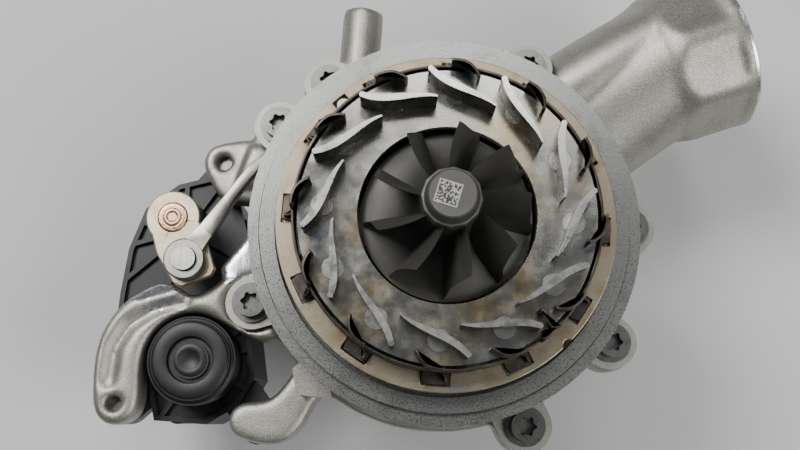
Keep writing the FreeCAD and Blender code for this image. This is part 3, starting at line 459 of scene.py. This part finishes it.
def nozzle_steel():
    return finish_material("Nozzle Steel", (0.44, 0.43, 0.39), (0.46, 0.38, 0.22), rough=(0.18, 0.32),
                           cloud=17.0, threshold=0.46, grain=5.0, bump=0.0, turning=0.006, second=((0.26,
                                                                                                    0.32,
                                                                                                    0.42),
                                                                                                   13.0,
                                                                                                   0.56))


def vane_steel():
    # The near-black side colour is painted shade on the vanes' upright walls, which stand in shade below the lit tops.
    return finish_material("Vane Steel", (0.66, 0.65, 0.62), (0.52, 0.49, 0.42), rough=(0.2, 0.34), cloud=4.0,
                           grain=4.0, bump=0.0, side=(0.055, 0.05, 0.043))


def ring_steel():
    return finish_material("Tinted Ring Steel", (0.36, 0.315, 0.23), (0.28, 0.20, 0.11), rough=(0.3, 0.5),
                           cloud=7.0, threshold=0.5, grain=0.5, bump=0.3, second=((0.27, 0.30, 0.37), 15.0,
                                                                                  0.58), specks=((0.13, 0.11,
                                                                                                  0.09), 0.7,
                                                                                                 0.63))


def burnt_steel():
    return finish_material("Burnt Steel", (0.075, 0.066, 0.058), (0.17, 0.135, 0.10), rough=(0.28, 0.5),
                           cloud=6.0, grain=0.5, bump=0.2)


def wheel_alloy():
    colour = tuple(bpy.context.scene.turbo_wheels.colour)
    return finish_material("Turbine Alloy", colour, (0.145, 0.14, 0.125), metallic=0.7, rough=(0.42, 0.62),
                           cloud=10.0, grain=0.35, bump=0.25, second=((0.08, 0.085, 0.12), 18.0, 0.64))


def bolt_steel():
    return finish_material("Bolt Steel", (0.20, 0.20, 0.19), (0.13, 0.125, 0.115), rough=(0.26, 0.42),
                           cloud=3.0, grain=0.35, bump=0.15)


def ground_steel():
    return finish_material("Ground Steel", (0.46, 0.45, 0.42), (0.36, 0.35, 0.31), rough=(0.2, 0.34),
                           cloud=5.0, grain=0.3, bump=0.08, scratch=0.1)


def link_steel():
    return finish_material("Link Steel", (0.33, 0.32, 0.285), (0.22, 0.21, 0.18), rough=(0.26, 0.42),
                           cloud=5.0, grain=0.4, bump=0.15)


def tan_steel():
    return finish_material("Heat Tinted Lever Steel", (0.50, 0.43, 0.33), (0.40, 0.28, 0.17), metallic=0.9,
                           rough=(0.3, 0.46), cloud=8.0, threshold=0.46, grain=0.6, bump=0.25,
                           specks=((0.30, 0.22, 0.15), 0.8, 0.68))


def copper_weld():
    return finish_material("Welded Shaft End", (0.60, 0.36, 0.22), (0.34, 0.26, 0.34), rough=(0.2, 0.4),
                           cloud=2.0, grain=0.4, bump=0.5)


def black_plastic():
    return finish_material("Glass Filled Plastic", (0.007, 0.007, 0.0075), (0.013, 0.013, 0.014),
                           metallic=0.0, rough=(0.36, 0.52), cloud=14.0, grain=0.35, bump=0.25)


def gear_plastic():
    return finish_material("Gear Plastic", (0.70, 0.67, 0.57), (0.60, 0.57, 0.47), metallic=0.0, rough=(0.4,
                                                                                                        0.5),
                           cloud=8.0, grain=0.4, bump=0.1)


def bronze():
    return finish_material("Bearing Bronze", (0.66, 0.46, 0.24), (0.52, 0.36, 0.18), rough=(0.25, 0.4),
                           cloud=4.0, grain=0.3, bump=0.1)


def seal_rubber():
    return finish_material("Seal Rubber", (0.02, 0.02, 0.02), (0.035, 0.035, 0.034), metallic=0.0,
                           rough=(0.5, 0.7), cloud=6.0, grain=0.3, bump=0.15)


NODE_FINISHES = {"housing_bolts": bolt_steel, "bearing_housing": turned_iron,
                 "bearing_housing_screws": bolt_steel, "heat_shield": burnt_steel, "journal_bearing": bronze,
                 "bearing_pin": bolt_steel, "thrust_bearing": bronze, "thrust_collar": ground_steel,
                 "piston_rings": ground_steel, "rotor_shaft": ground_steel, "compressor_nut": ground_steel,
                 "nozzle_plate": nozzle_steel, "ring_guide_pins": ground_steel, "unison_ring": ring_steel,
                 "guide_band": burnt_steel, "vtg_bush": bronze, "vtg_lever": ground_steel,
                 "vtg_inner_lever": ground_steel, "link_rod": link_steel, "link_pin": ground_steel,
                 "actuator_lever": tan_steel, "actuator_shaft": copper_weld, "sector_gear": gear_plastic,
                 "intermediate_gear": gear_plastic, "motor_rotor": ground_steel, "motor_can": bolt_steel,
                 "actuator_housing": black_plastic, "actuator_cover": black_plastic,
                 "cover_screws": bolt_steel, "actuator_screws": bolt_steel, "backplate_seal": seal_rubber,
                 "outlet_seal": seal_rubber, "compressor_backplate": cast_aluminium,
                 "compressor_housing": cast_aluminium, "compressor_wheel": milled_aluminium,
                 "turbine_wheel": wheel_alloy,}


# ---------------------------------------------------------------- operators

def node_mesh(name):
    """A merged copy of a frame part's mesh."""
    bm = bmesh.new()
    bm.from_mesh(NODES[name].data)
    bmesh.ops.transform(bm, matrix=NODES[name].matrix_world, verts=bm.verts)
    bmesh.ops.remove_doubles(bm, verts=bm.verts, dist=DOUBLES)
    return bm


def mark_faces(made, slot_index, test):
    """Gives the faces that test() picks, by centre and normal, another of the object's finishes."""
    for face in made.data.polygons:
        if test(face.center, face.normal):
            face.material_index = slot_index


def in_disc(point, centre, radius):
    return math.hypot(point.x - centre[0] * MM, point.y - centre[1] * MM) < radius * MM


PAD_CENTRE, PAD_R = (-62.5, -7.5), 10.0
ARM_EDGE_CENTRE, ARM_EDGE_R = (-88.5, -19.5), 7.0
SCREW_SEAT_R = 5.2
MACHINED_RIM = 1.2 * MM
FACES_UP, FACES_DOWN = 0.95, -0.8
CHAMFER_LEAN = (0.7, 0.93)


def is_machined(point, normal):
    """The pads and rims of the casting that a cutter has been over."""
    if (point - OUTLET_FACE).dot(OUTLET_AXIS) > -MACHINED_RIM:
        return True
    on_pad = in_disc(point, PAD_CENTRE, PAD_R) and abs(point.z - PAD_Z) < 0.7 * MM
    on_arm_edge = in_disc(point, ARM_EDGE_CENTRE, ARM_EDGE_R) and point.z > ARM_BOTTOM + 7 * MM
    in_seat = any(in_disc(point, place, SCREW_SEAT_R) and normal.z < FACES_DOWN for place in SCREW_SEATS)
    on_chamfer = on_arm_edge and CHAMFER_LEAN[0] < normal.z < CHAMFER_LEAN[1]
    return (on_pad and normal.z > FACES_UP) or on_chamfer or in_seat


class TURBO_OT_castings(bpy.types.Operator):
    """Casts the compressor housing with soft corners, a grained skin and milled faces"""
    bl_idname = "turbo.castings"
    bl_label = "Castings"

    def execute(self, context):
        settings = context.scene.turbo_casting
        housing = mesh_object("compressor_housing_cast", node_mesh("compressor_housing"))
        cast(housing, settings.voxel, settings.softening)
        finish_piece(housing, "housing", cast_aluminium(), angle=50.0)
        housing.data.materials.append(milled_aluminium())
        mark_faces(housing, 1, is_machined)
        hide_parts("compressor_housing")
        self.outlet_rim()
        return {"FINISHED"}

    def outlet_rim(self):
        """The turned ring at the mouth of the outlet."""
        bore, outer = OUTLET_BORE / MM, OUTLET_BORE / MM + 4.1
        bm = bmesh.new()
        profile = [(bore + 0.5, -3.0 * MM), (bore + 0.5, -0.9 * MM), (bore + 1.1, -0.05 * MM), (outer - 0.8,
                                                                                                -0.05 * MM),
                   (outer - 0.1, -0.7 * MM), (outer - 0.1, -1.6 * MM), (outer - 0.7, -1.9 * MM),
                   (outer - 0.7, -3.0 * MM)]
        verts = add_spin(bm, profile, segments=128)
        turn = OUTLET_AXIS.to_track_quat("Z", "Y").to_matrix().to_4x4()
        bmesh.ops.transform(bm, matrix=Matrix.Translation(OUTLET_FACE) @ turn, verts=verts)
        bmesh.ops.recalc_face_normals(bm, faces=bm.faces)
        rim = mesh_object("outlet_rim", bm)
        finish_piece(rim, "housing", milled_aluminium())


def blade(bm, first, outline, swing, thickness, steps=(10, 12)):
    """A twisted blade: outline(rise) gives its radii and height, swing(across, rise) its angle in degrees."""
    grid = bmesh.ops.create_grid(bm, x_segments=steps[0], y_segments=steps[1], size=0.5)
    for vert in grid["verts"]:
        across, rise = vert.co.x + 0.5, vert.co.y + 0.5
        inner, outer, height = outline(rise)
        radius = (inner + (outer - inner) * across) * MM
        angle = math.radians(first + swing(across, rise))
        vert.co = (radius * math.cos(angle), radius * math.sin(angle), height)
    faces = set(face for vert in grid["verts"] for face in vert.link_faces)
    bmesh.ops.solidify(bm, geom=list(faces), thickness=thickness * MM)


def blend_line(stops, value):
    """Straight-line interpolation between (position, amount) stops."""
    for (low, first), (high, second) in zip(stops, stops[1:]):
        if value <= high:
            return first + (second - first) * max(0.0, (value - low) / (high - low))
    return stops[-1][1]


BLADE_FOOT, BLADE_RISE, BLADE_ROOT_R = 125.2, 23.8, 5.5
TURBINE_SHROUD = [(124.9, 22.4), (134.5, 22.3), (136.2, 21.0), (143.0, 20.1), (149.0, 19.7)]


def turbine_outline(rise):
    height = BLADE_FOOT + BLADE_RISE * rise
    return BLADE_ROOT_R, blend_line(TURBINE_SHROUD, height), height * MM


def turbine_swing(across, rise):
    """Blades start radial and lean over towards their trailing edges."""
    turn = 34.0 - 17.0 * across
    lean = 13.0 * (1.0 - across)
    return lean - turn * (1.0 - rise ** 2.4)


def turbine_hub_profile():
    slope = [(7.3 + 15.6 * math.exp(-(height - 125.4) / 4.3), height * MM) for height in
             (125.4, 126.2, 127.0, 128.0, 129.2, 130.6, 132.4, 134.6, 137.2, 140.5, 144.0)]
    return ([(0.0, 110 * MM), (8.0, 110 * MM), (8.0, 123.6 * MM), (22.9, 124.2 * MM)] + slope
            + [(7.2, 146 * MM), (7.0, 149 * MM), (6.7, 151.6 * MM), (6.35, 152.2 * MM), (6.1, 153.9 * MM),
               (5.7, 154.3 * MM), (0.0, 154.3 * MM)])


FIELD_CENTRE, FIELD_TURN = (-1.1, 0.0), -13.0
FIELD_Z, FIELD_HALF = 154.34 * MM, 2.95 * MM
DOTS_Z, DOTS_SIDE, DOTS_COUNT = 154.38 * MM, 5.2, 16


def dot_square(bm, centre, side, count, turn, top):
    """A square field of random squares, as a laser leaves on a part; it spells nothing."""
    draw = random.Random(7)
    field = Matrix.Translation((centre[0] * MM, centre[1] * MM, top)) @ Matrix.Rotation(math.radians(turn),
                                                                                        4, "Z")
    step = side * MM / count
    dark = []
    for column in range(count):
        for row in range(count):
            if draw.random() < 0.5:
                place = Matrix.Translation(
                    ((column + 0.5) * step - side * MM / 2, (row + 0.5) * step - side * MM / 2, 0))
                made = bmesh.ops.create_grid(bm, x_segments=1, y_segments=1, size=step * 0.5, matrix=field
                                             @ place)
                dark += [face for vert in made["verts"] for face in vert.link_faces]
    return dark


class TURBO_OT_wheels(bpy.types.Operator):
    """Makes the turbine wheel and the compressor wheel with twisted blades"""
    bl_idname = "turbo.wheels"
    bl_label = "Wheels"

    def execute(self, context):
        settings = context.scene.turbo_wheels
        self.turbine(settings)
        self.compressor(settings)
        return {"FINISHED"}

    def turbine(self, settings):
        bm = bmesh.new()
        add_spin(bm, turbine_hub_profile(), segments=120)
        collar = bmesh.ops.create_cone(bm, cap_ends=True, segments=12, radius1=7.9 * MM, radius2=7.6 * MM,
                                       depth=3.8 * MM, matrix=Matrix.Translation((0, 0, 148.6 * MM)))
        rims = list(set(edge for vert in collar["verts"] for edge in vert.link_edges))
        bmesh.ops.bevel(bm, geom=rims, offset=0.35 * MM, segments=2, affect="EDGES", profile=0.5, material=-1)
        for k in range(settings.turbine_blades):
            blade(bm, 88.0 + 360.0 * k / settings.turbine_blades, turbine_outline, turbine_swing, 0.85)
        bmesh.ops.recalc_face_normals(bm, faces=bm.faces)
        field = Matrix.Translation(plan(*FIELD_CENTRE, FIELD_Z)) @ Matrix.Rotation(math.radians(FIELD_TURN),
                                                                                   4, "Z")
        pale = bmesh.ops.create_grid(bm, x_segments=1, y_segments=1, size=FIELD_HALF, matrix=field)
        plate_faces = [face for vert in pale["verts"] for face in vert.link_faces]
        dark = dot_square(bm, FIELD_CENTRE, DOTS_SIDE, DOTS_COUNT, FIELD_TURN, DOTS_Z)
        for face in plate_faces:
            face.material_index = 1
        for face in dark:
            face.material_index = 2
        wheel = mesh_object("turbine_wheel_alloy", bm)
        finish_piece(wheel, "rotor", wheel_alloy())
        wheel.data.materials.append(laser_mark("Laser Field", (0.42, 0.41, 0.37)))
        wheel.data.materials.append(laser_mark("Laser Dots", (0.05, 0.05, 0.045)))
        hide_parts("turbine_wheel")

    def compressor(self, settings):
        bm = bmesh.new()
        hub = [(3.02, 38), (5.6, 38), (6.0, 46), (7.0, 51), (9.2, 56), (13, 60.6), (18, 63.6), (24.8, 65),
               (24.8, 66.4), (7.0, 66.6), (7.0, 71.5), (3.02, 71.5)]
        add_spin(bm, [(radius, height * MM) for radius, height in hub], segments=120)
        shroud = [(39.5, 18.2), (46, 18.3), (55, 20.0), (61, 22.4), (63.1, 24.5), (65, 24.6)]

        def full(rise):
            height = 40.0 + 25.0 * rise
            return 4.6 + 12.0 * max(0.0, rise - 0.7), blend_line(shroud, height), height * MM

        def splitter(rise):
            height = 47.5 + 17.5 * rise
            return 4.6 + 12.0 * max(0.0, rise - 0.6), blend_line(shroud, height), height * MM

        count = settings.compressor_blades
        for k in range(count):
            blade(bm, 360.0 * k / count, full, lambda v, u: 52.0 * (1 - u) ** 1.6 + 16.0 * v * u, 0.7)
            blade(bm, 360.0 * (k + 0.5) / count, splitter, lambda v, u: 26.0 * (1 - u) ** 1.4 + 16.0 * v * u,
                  0.7)
        bmesh.ops.recalc_face_normals(bm, faces=bm.faces)
        wheel = mesh_object("compressor_wheel_milled", bm)
        finish_piece(wheel, "rotor", milled_aluminium())
        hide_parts("compressor_wheel")


def laser_mark(name, colour):
    return finish_material(name, colour, tuple(0.9 * part for part in colour), metallic=0.2, rough=(0.5,
                                                                                                    0.7),
                           grain=0.2, bump=0.1)


def swept_strip(bm, path, half_width, low, high, segments=4):
    """A thin upright strip along a path of (x, y) points in millimetres, with rounded rims."""
    points = [Vector((x * MM, y * MM, 0.0)) for x, y in path]
    sides = []
    for index, point in enumerate(points):
        before, after = points[max(0, index - 1)], points[min(len(points) - 1, index + 1)]
        along = (after - before).normalized()
        sides.append(Vector((-along.y, along.x, 0.0)) * half_width * MM)
    outline = [point + side for point, side in zip(points, sides)]
    outline += [point - side for point, side in zip(reversed(points), reversed(sides))]
    add_slab(bm, [(p.x / MM, p.y / MM) for p in outline], low, high, edge=half_width * MM * 0.6,
             segments=segments)


def curve_through(points, steps=6):
    """Catmull-Rom points through a short list of places."""
    result = []
    ends = [points[0]] + list(points) + [points[-1]]
    for a, b, c, d in zip(ends, ends[1:], ends[2:], ends[3:]):
        for k in range(steps):
            t = k / steps
            result.append(tuple(0.5 * (2 * b[i] + (c[i] - a[i]) * t + (2 * a[i] - 5 * b[i]
                                                                       + 4 * c[i] - d[i]) * t * t
                                       + (3 * b[i] - a[i] - 3 * c[i] + d[i]) * t ** 3) for i in (0, 1)))
    result.append(tuple(points[-1]))
    return result


def on_circle(radius, degrees):
    return (radius * math.cos(math.radians(degrees)), radius * math.sin(math.radians(degrees)))


BAND_R, BAND_HALF = 40.75, 0.42
BAND_START, BAND_SWEEP, BAND_STEPS = -42.9, 356.8, 160
CLAW_COUNT, FIRST_CLAW = 12, 90.0
CLAW_HALF, FOOT_HALF = 0.5, 0.45


class TURBO_OT_band(bpy.types.Operator):
    """Makes the spring band round the nozzle plate with its claws and curled ends"""
    bl_idname = "turbo.band"
    bl_label = "Spring band"

    def execute(self, context):
        low, top, claw_top = FLANGE_Z + 11.5 * MM, FLANGE_Z + 17.8 * MM, FLANGE_Z + 23.4 * MM
        claw_low = top - 0.8 * MM
        bm = bmesh.new()
        arc = [on_circle(BAND_R, BAND_START + BAND_SWEEP * k / BAND_STEPS) for k in range(BAND_STEPS + 1)]
        swept_strip(bm, arc, BAND_HALF, low, top)
        for k in range(CLAW_COUNT):
            angle = FIRST_CLAW - 360.0 / CLAW_COUNT * k
            stand = [on_circle(40.7, angle + 2.5), on_circle(40.6, angle - 1.0), on_circle(39.9, angle - 4.5),
                     on_circle(38.4, angle - 7.2), on_circle(36.9, angle - 8.9)]
            swept_strip(bm, curve_through(stand), CLAW_HALF, claw_low, claw_top)
            foot = [on_circle(43.6, angle + 3.2), on_circle(42.0, angle + 3.0), on_circle(40.9, angle + 1.0)]
            swept_strip(bm, curve_through(foot), FOOT_HALF, low - 2.0 * MM, low + 1.4 * MM)
        curl = [on_circle(BAND_R, -42.4), (29.7, -27.9), (28.2, -28.2), (27.0, -26.6), (26.3, -24.2), (24.9,
                                                                                                       -24.3)]
        tail = [on_circle(BAND_R, -50.5), (27.6, -30.0), (26.4, -28.5)]
        for end in (curl, tail):
            swept_strip(bm, curve_through(end), CLAW_HALF, claw_low, claw_top)
        bmesh.ops.recalc_face_normals(bm, faces=bm.faces)
        band = mesh_object("spring_band", bm)
        finish_piece(band, "housing", burnt_steel())
        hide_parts("guide_band")
        return {"FINISHED"}


class TURBO_OT_linkage(bpy.types.Operator):
    """Makes the twisted link with its two eyes and the weld ring on the lever"""
    bl_idname = "turbo.linkage"
    bl_label = "Linkage"

    def execute(self, context):
        self.link()
        self.weld()
        return {"FINISHED"}

    def eye(self, bm, centre, outer, bore, low, high):
        edge = 0.45
        profile = [
            (bore, low), (outer - edge, low), (outer, low + edge * MM), (outer, high - edge * MM),
            (outer - edge, high), (bore + 0.9, high), (bore + 0.5, high - 0.35 * MM), (bore,
                                                                                       high - 0.35 * MM)]
        add_spin(bm, profile, centre=centre, segments=72)

    def link(self):
        low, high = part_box("link_rod")[0][2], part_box("link_rod")[1][2]
        middle = (low + high) / 2
        near = (LINK_PIVOT.x / MM, LINK_PIVOT.y / MM)
        far, square_reach = (-44.0, 30.0), 1.41
        bm = bmesh.new()
        self.eye(bm, near, 6.4, 3.05, low, high)
        self.eye(bm, far, 6.6, 3.8, low, high)
        # each station: place, half width, half height, rise above the middle
        stations = [((-75.4, -5.7), 2.9, 1.35, 0.0), ((-72.6, -1.0), 2.6, 1.4, 0.0), ((-69.6, 3.9), 2.35,
                                                                                      1.6, 0.0), ((-67.6,
                                                                                                   7.2),
                                                                                                  1.95, 1.9,
                                                                                                  0.3),
                    ((-65.8, 10.2), 1.65, 2.15, 0.5), ((-62.6, 15.4), 1.6, 2.2, 0.5), ((-59.5, 20.0), 1.7,
                                                                                       2.1, 0.3), ((-55.6,
                                                                                                    23.2),
                                                                                                   2.2, 1.5,
                                                                                                   0.0),
                    ((-49.6, 26.7), 2.5, 1.35, 0.0)]
        rings = []
        for index, (place, half_width, half_height, lift) in enumerate(stations):
            before = Vector(stations[max(0, index - 1)][0])
            after = Vector(stations[min(len(stations) - 1, index + 1)][0])
            along = (after - before).to_3d()
            centre = plan(*place, middle + lift * MM)
            rings.append(section(centre, along, half_width * MM * square_reach,
                                 half_height * MM * square_reach))
        add_loft(bm, [ring @ Matrix.Rotation(math.radians(45), 4, "Z") for ring in rings], segments=4)
        strap_edges = [edge for edge in bm.edges if len(edge.link_faces) == 2
                       and edge.calc_face_angle(0.0) > 0.9 and not any(in_disc(vert.co, near, 6.5)
                                                                       or in_disc(vert.co, far, 6.7)
                                                                       for vert in edge.verts)]
        bmesh.ops.bevel(bm, geom=strap_edges, offset=0.45 * MM, segments=2, affect="EDGES", profile=0.5,
                        material=-1)
        bmesh.ops.recalc_face_normals(bm, faces=bm.faces)
        link = mesh_object("link_strap", bm)
        finish_piece(link, "link", link_steel())
        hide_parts("link_rod")

    def weld(self):
        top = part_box("actuator_lever")[1][2]
        bm = bmesh.new()
        profile = [(0.0, top + 0.1 * MM), (0.9, top + 0.15 * MM), (1.5, top + 0.75 * MM), (2.3, top
                                                                                           + 0.95 * MM),
                   (3.1, top + 0.55 * MM), (3.5, top + 0.25 * MM), (4.1, top + 0.45 * MM), (4.7, top
                                                                                            + 0.2 * MM),
                   (4.9, top - 0.2 * MM), (0.0, top - 0.2 * MM)]
        add_spin(bm, profile, centre=(ARM_PIVOT.x / MM, ARM_PIVOT.y / MM), segments=72)
        bmesh.ops.recalc_face_normals(bm, faces=bm.faces)
        weld = mesh_object("lever_weld", bm)
        finish_piece(weld, "actuator_arm", copper_weld(), angle=60)


class TURBO_OT_motor_cap(bpy.types.Operator):
    """Makes the ringed cap over the motor"""
    bl_idname = "turbo.motor_cap"
    bl_label = "Motor cap"

    def execute(self, context):
        bm = bmesh.new()
        rings = [(0.0, 74.1), (2.4, 74.1), (3.0, 74.5), (4.3, 74.6), (5.0, 74.35), (5.4, 73.0), (6.9, 73.0),
                 (7.3, 74.4), (7.6, 74.5), (11.2, 74.5), (12.0, 74.2), (12.5, 73.4), (12.5, 72.3), (13.4,
                                                                                                    72.1),
                 (13.95, 71.4), (13.95, 70.5), (12.2, 70.5), (12.2, 71.8), (0.0, 71.8)]
        add_spin(bm, [(radius, height * MM) for radius, height in rings],
                 centre=(MOTOR_AXIS.x / MM, MOTOR_AXIS.y / MM), segments=120)
        bmesh.ops.recalc_face_normals(bm, faces=bm.faces)
        cap = mesh_object("motor_cap", bm)
        finish_piece(cap, "housing", black_plastic(), angle=40)
        return {"FINISHED"}


EDGE_BREAKS = [("bearing_housing_screws", 0.15), ("bearing_housing", 0.3), ("housing_bolts", 0.35),
               ("nozzle_plate", 0.12), ("unison_ring", 0.25), ("vane_lever", 0.2), ("vane", 0.16),
               ("actuator_lever", 0.4), ("link_pin", 0.3), ("vtg", 0.3), ("compressor_backplate", 0.6),
               ("actuator_housing", 0.35), ("actuator_cover", 0.5), ("cover_screws", 0.2),
               ("actuator_screws", 0.3), ("compressor_nut", 0.3)]


class TURBO_OT_finishes(bpy.types.Operator):
    """Gives every part of the frame its finish"""
    bl_idname = "turbo.finishes"
    bl_label = "Frame finishes"

    def execute(self, context):
        for name, node in NODES.items():
            node.material_slots[0].material = self.finish_of(name)
            self.soften(name, node)
        return {"FINISHED"}

    def finish_of(self, name):
        if name.startswith("vane_lever"):
            return burnt_steel()
        return vane_steel() if name.startswith("vane") else NODE_FINISHES[name]()

    def soften(self, name, node):
        """Breaks the sharp edges of a frame part with a weld and a narrow bevel."""
        width = next((size for start, size in EDGE_BREAKS if name.startswith(start)), 0.0)
        if width == 0.0:
            return
        weld = node.modifiers.new("Weld", "WELD")
        weld.merge_threshold = DOUBLES
        edge = node.modifiers.new("Edge break", "BEVEL")
        edge.width = width * MM
        edge.segments = 2
        edge.limit_method = "ANGLE"
        edge.angle_limit = math.radians(50)
        edge.use_clamp_overlap = True


FLOOR_HALF = 3.0
LAMP_AIM = Vector((0, 0, 0.1))
LAMPS = [("key", (-0.42, 0.30, 0.80), 0.35, 0.9), ("fill", (0.6, -0.25, 0.75), 0.5, 0.65),
         ("top", (0.05, 0.5, 1.0), 0.35, 0.3)]
SKY_COLOUR, SKY_STRENGTH = (0.9, 0.93, 1.0, 1.0), 0.14
SENSOR_WIDTH = 36.0
CAMERA_PLACE = (-0.01013, -0.05391, FLANGE_Z + 0.27495)
CAMERA_RIGHT = Vector((0.9972, 0.0745, 0.0063))
CAMERA_UP = Vector((-0.0743, 0.9788, 0.1908))
CAMERA_BACK = Vector((0.0081, -0.1907, 0.9816))


class TURBO_OT_stage(bpy.types.Operator):
    """Lays the floor and sets the lights and the camera"""
    bl_idname = "turbo.stage"
    bl_label = "Stage"

    def execute(self, context):
        settings = context.scene.turbo_stage
        self.lay_floor(settings.floor_colour)
        self.hang_lamps(context.scene, settings.key_power)
        self.set_camera(context.scene, settings.lens)
        return {"FINISHED"}

    def lay_floor(self, colour):
        bm = bmesh.new()
        bmesh.ops.create_grid(bm, x_segments=2, y_segments=2, size=FLOOR_HALF)
        floor = mesh_object("floor", bm)
        floor.location.z = CAD_BOUNDS[0][2]
        material = bpy.data.materials.new("Floor")
        material.use_nodes = True
        shader = material.node_tree.nodes["Principled BSDF"]
        shader.inputs["Base Color"].default_value = (*colour, 1.0)
        shader.inputs["Roughness"].default_value = 0.8
        floor.data.materials.append(material)

    def hang_lamps(self, scene, key_power):
        """Hangs soft lamps, each with its share of the key light's power, under a dim pale sky."""
        for name, place, size, share in LAMPS:
            lamp = bpy.data.lights.new(name, "AREA")
            lamp.energy = key_power * share
            lamp.size = size
            made = bpy.data.objects.new(name, lamp)
            made.location = place
            made.rotation_euler = (Vector(place) - LAMP_AIM).to_track_quat("Z", "Y").to_euler()
            scene.collection.objects.link(made)
        world = bpy.data.worlds.new("Soft studio")
        world.use_nodes = True
        sky = world.node_tree.nodes["Background"]
        sky.inputs[0].default_value = SKY_COLOUR
        sky.inputs[1].default_value = SKY_STRENGTH
        scene.world = world

    def set_camera(self, scene, lens):
        eye = bpy.data.cameras.new("camera")
        eye.lens = lens
        eye.sensor_width = SENSOR_WIDTH
        camera = bpy.data.objects.new("camera", eye)
        turn = Matrix((CAMERA_RIGHT, CAMERA_UP, CAMERA_BACK)).transposed().to_4x4()
        camera.matrix_world = Matrix.Translation(CAMERA_PLACE) @ turn
        scene.collection.objects.link(camera)
        scene.camera = camera


OPERATORS = [TURBO_OT_finishes, TURBO_OT_castings, TURBO_OT_wheels, TURBO_OT_band, TURBO_OT_linkage,
             TURBO_OT_motor_cap, TURBO_OT_stage]


class TURBO_PT_panel(bpy.types.Panel):
    """Lists the builders of the turbocharger"""
    bl_idname = "TURBO_PT_panel"
    bl_label = "Turbocharger"
    bl_space_type = "VIEW_3D"
    bl_region_type = "UI"
    bl_category = "Turbo"

    def draw(self, context):
        for operator in OPERATORS:
            self.layout.operator(operator.bl_idname)
        for settings in (context.scene.turbo_casting, context.scene.turbo_wheels, context.scene.turbo_stage):
            box = self.layout.box()
            for label in settings.bl_rna.properties.keys():
                if label not in ("rna_type", "name"):
                    box.prop(settings, label)


CLASSES = [CastingSettings, WheelSettings, StageSettings] + OPERATORS + [TURBO_PT_panel]


def register():
    for kind in CLASSES:
        bpy.utils.register_class(kind)
    bpy.types.Scene.turbo_casting = PointerProperty(type=CastingSettings)
    bpy.types.Scene.turbo_wheels = PointerProperty(type=WheelSettings)
    bpy.types.Scene.turbo_stage = PointerProperty(type=StageSettings)


def unregister():
    del bpy.types.Scene.turbo_stage
    del bpy.types.Scene.turbo_wheels
    del bpy.types.Scene.turbo_casting
    for kind in reversed(CLASSES):
        bpy.utils.unregister_class(kind)


def main():
    register()
    for operator in OPERATORS:
        group_name, action = operator.bl_idname.split(".")
        getattr(getattr(bpy.ops, group_name), action)()


if __name__ == "__main__":
    main()
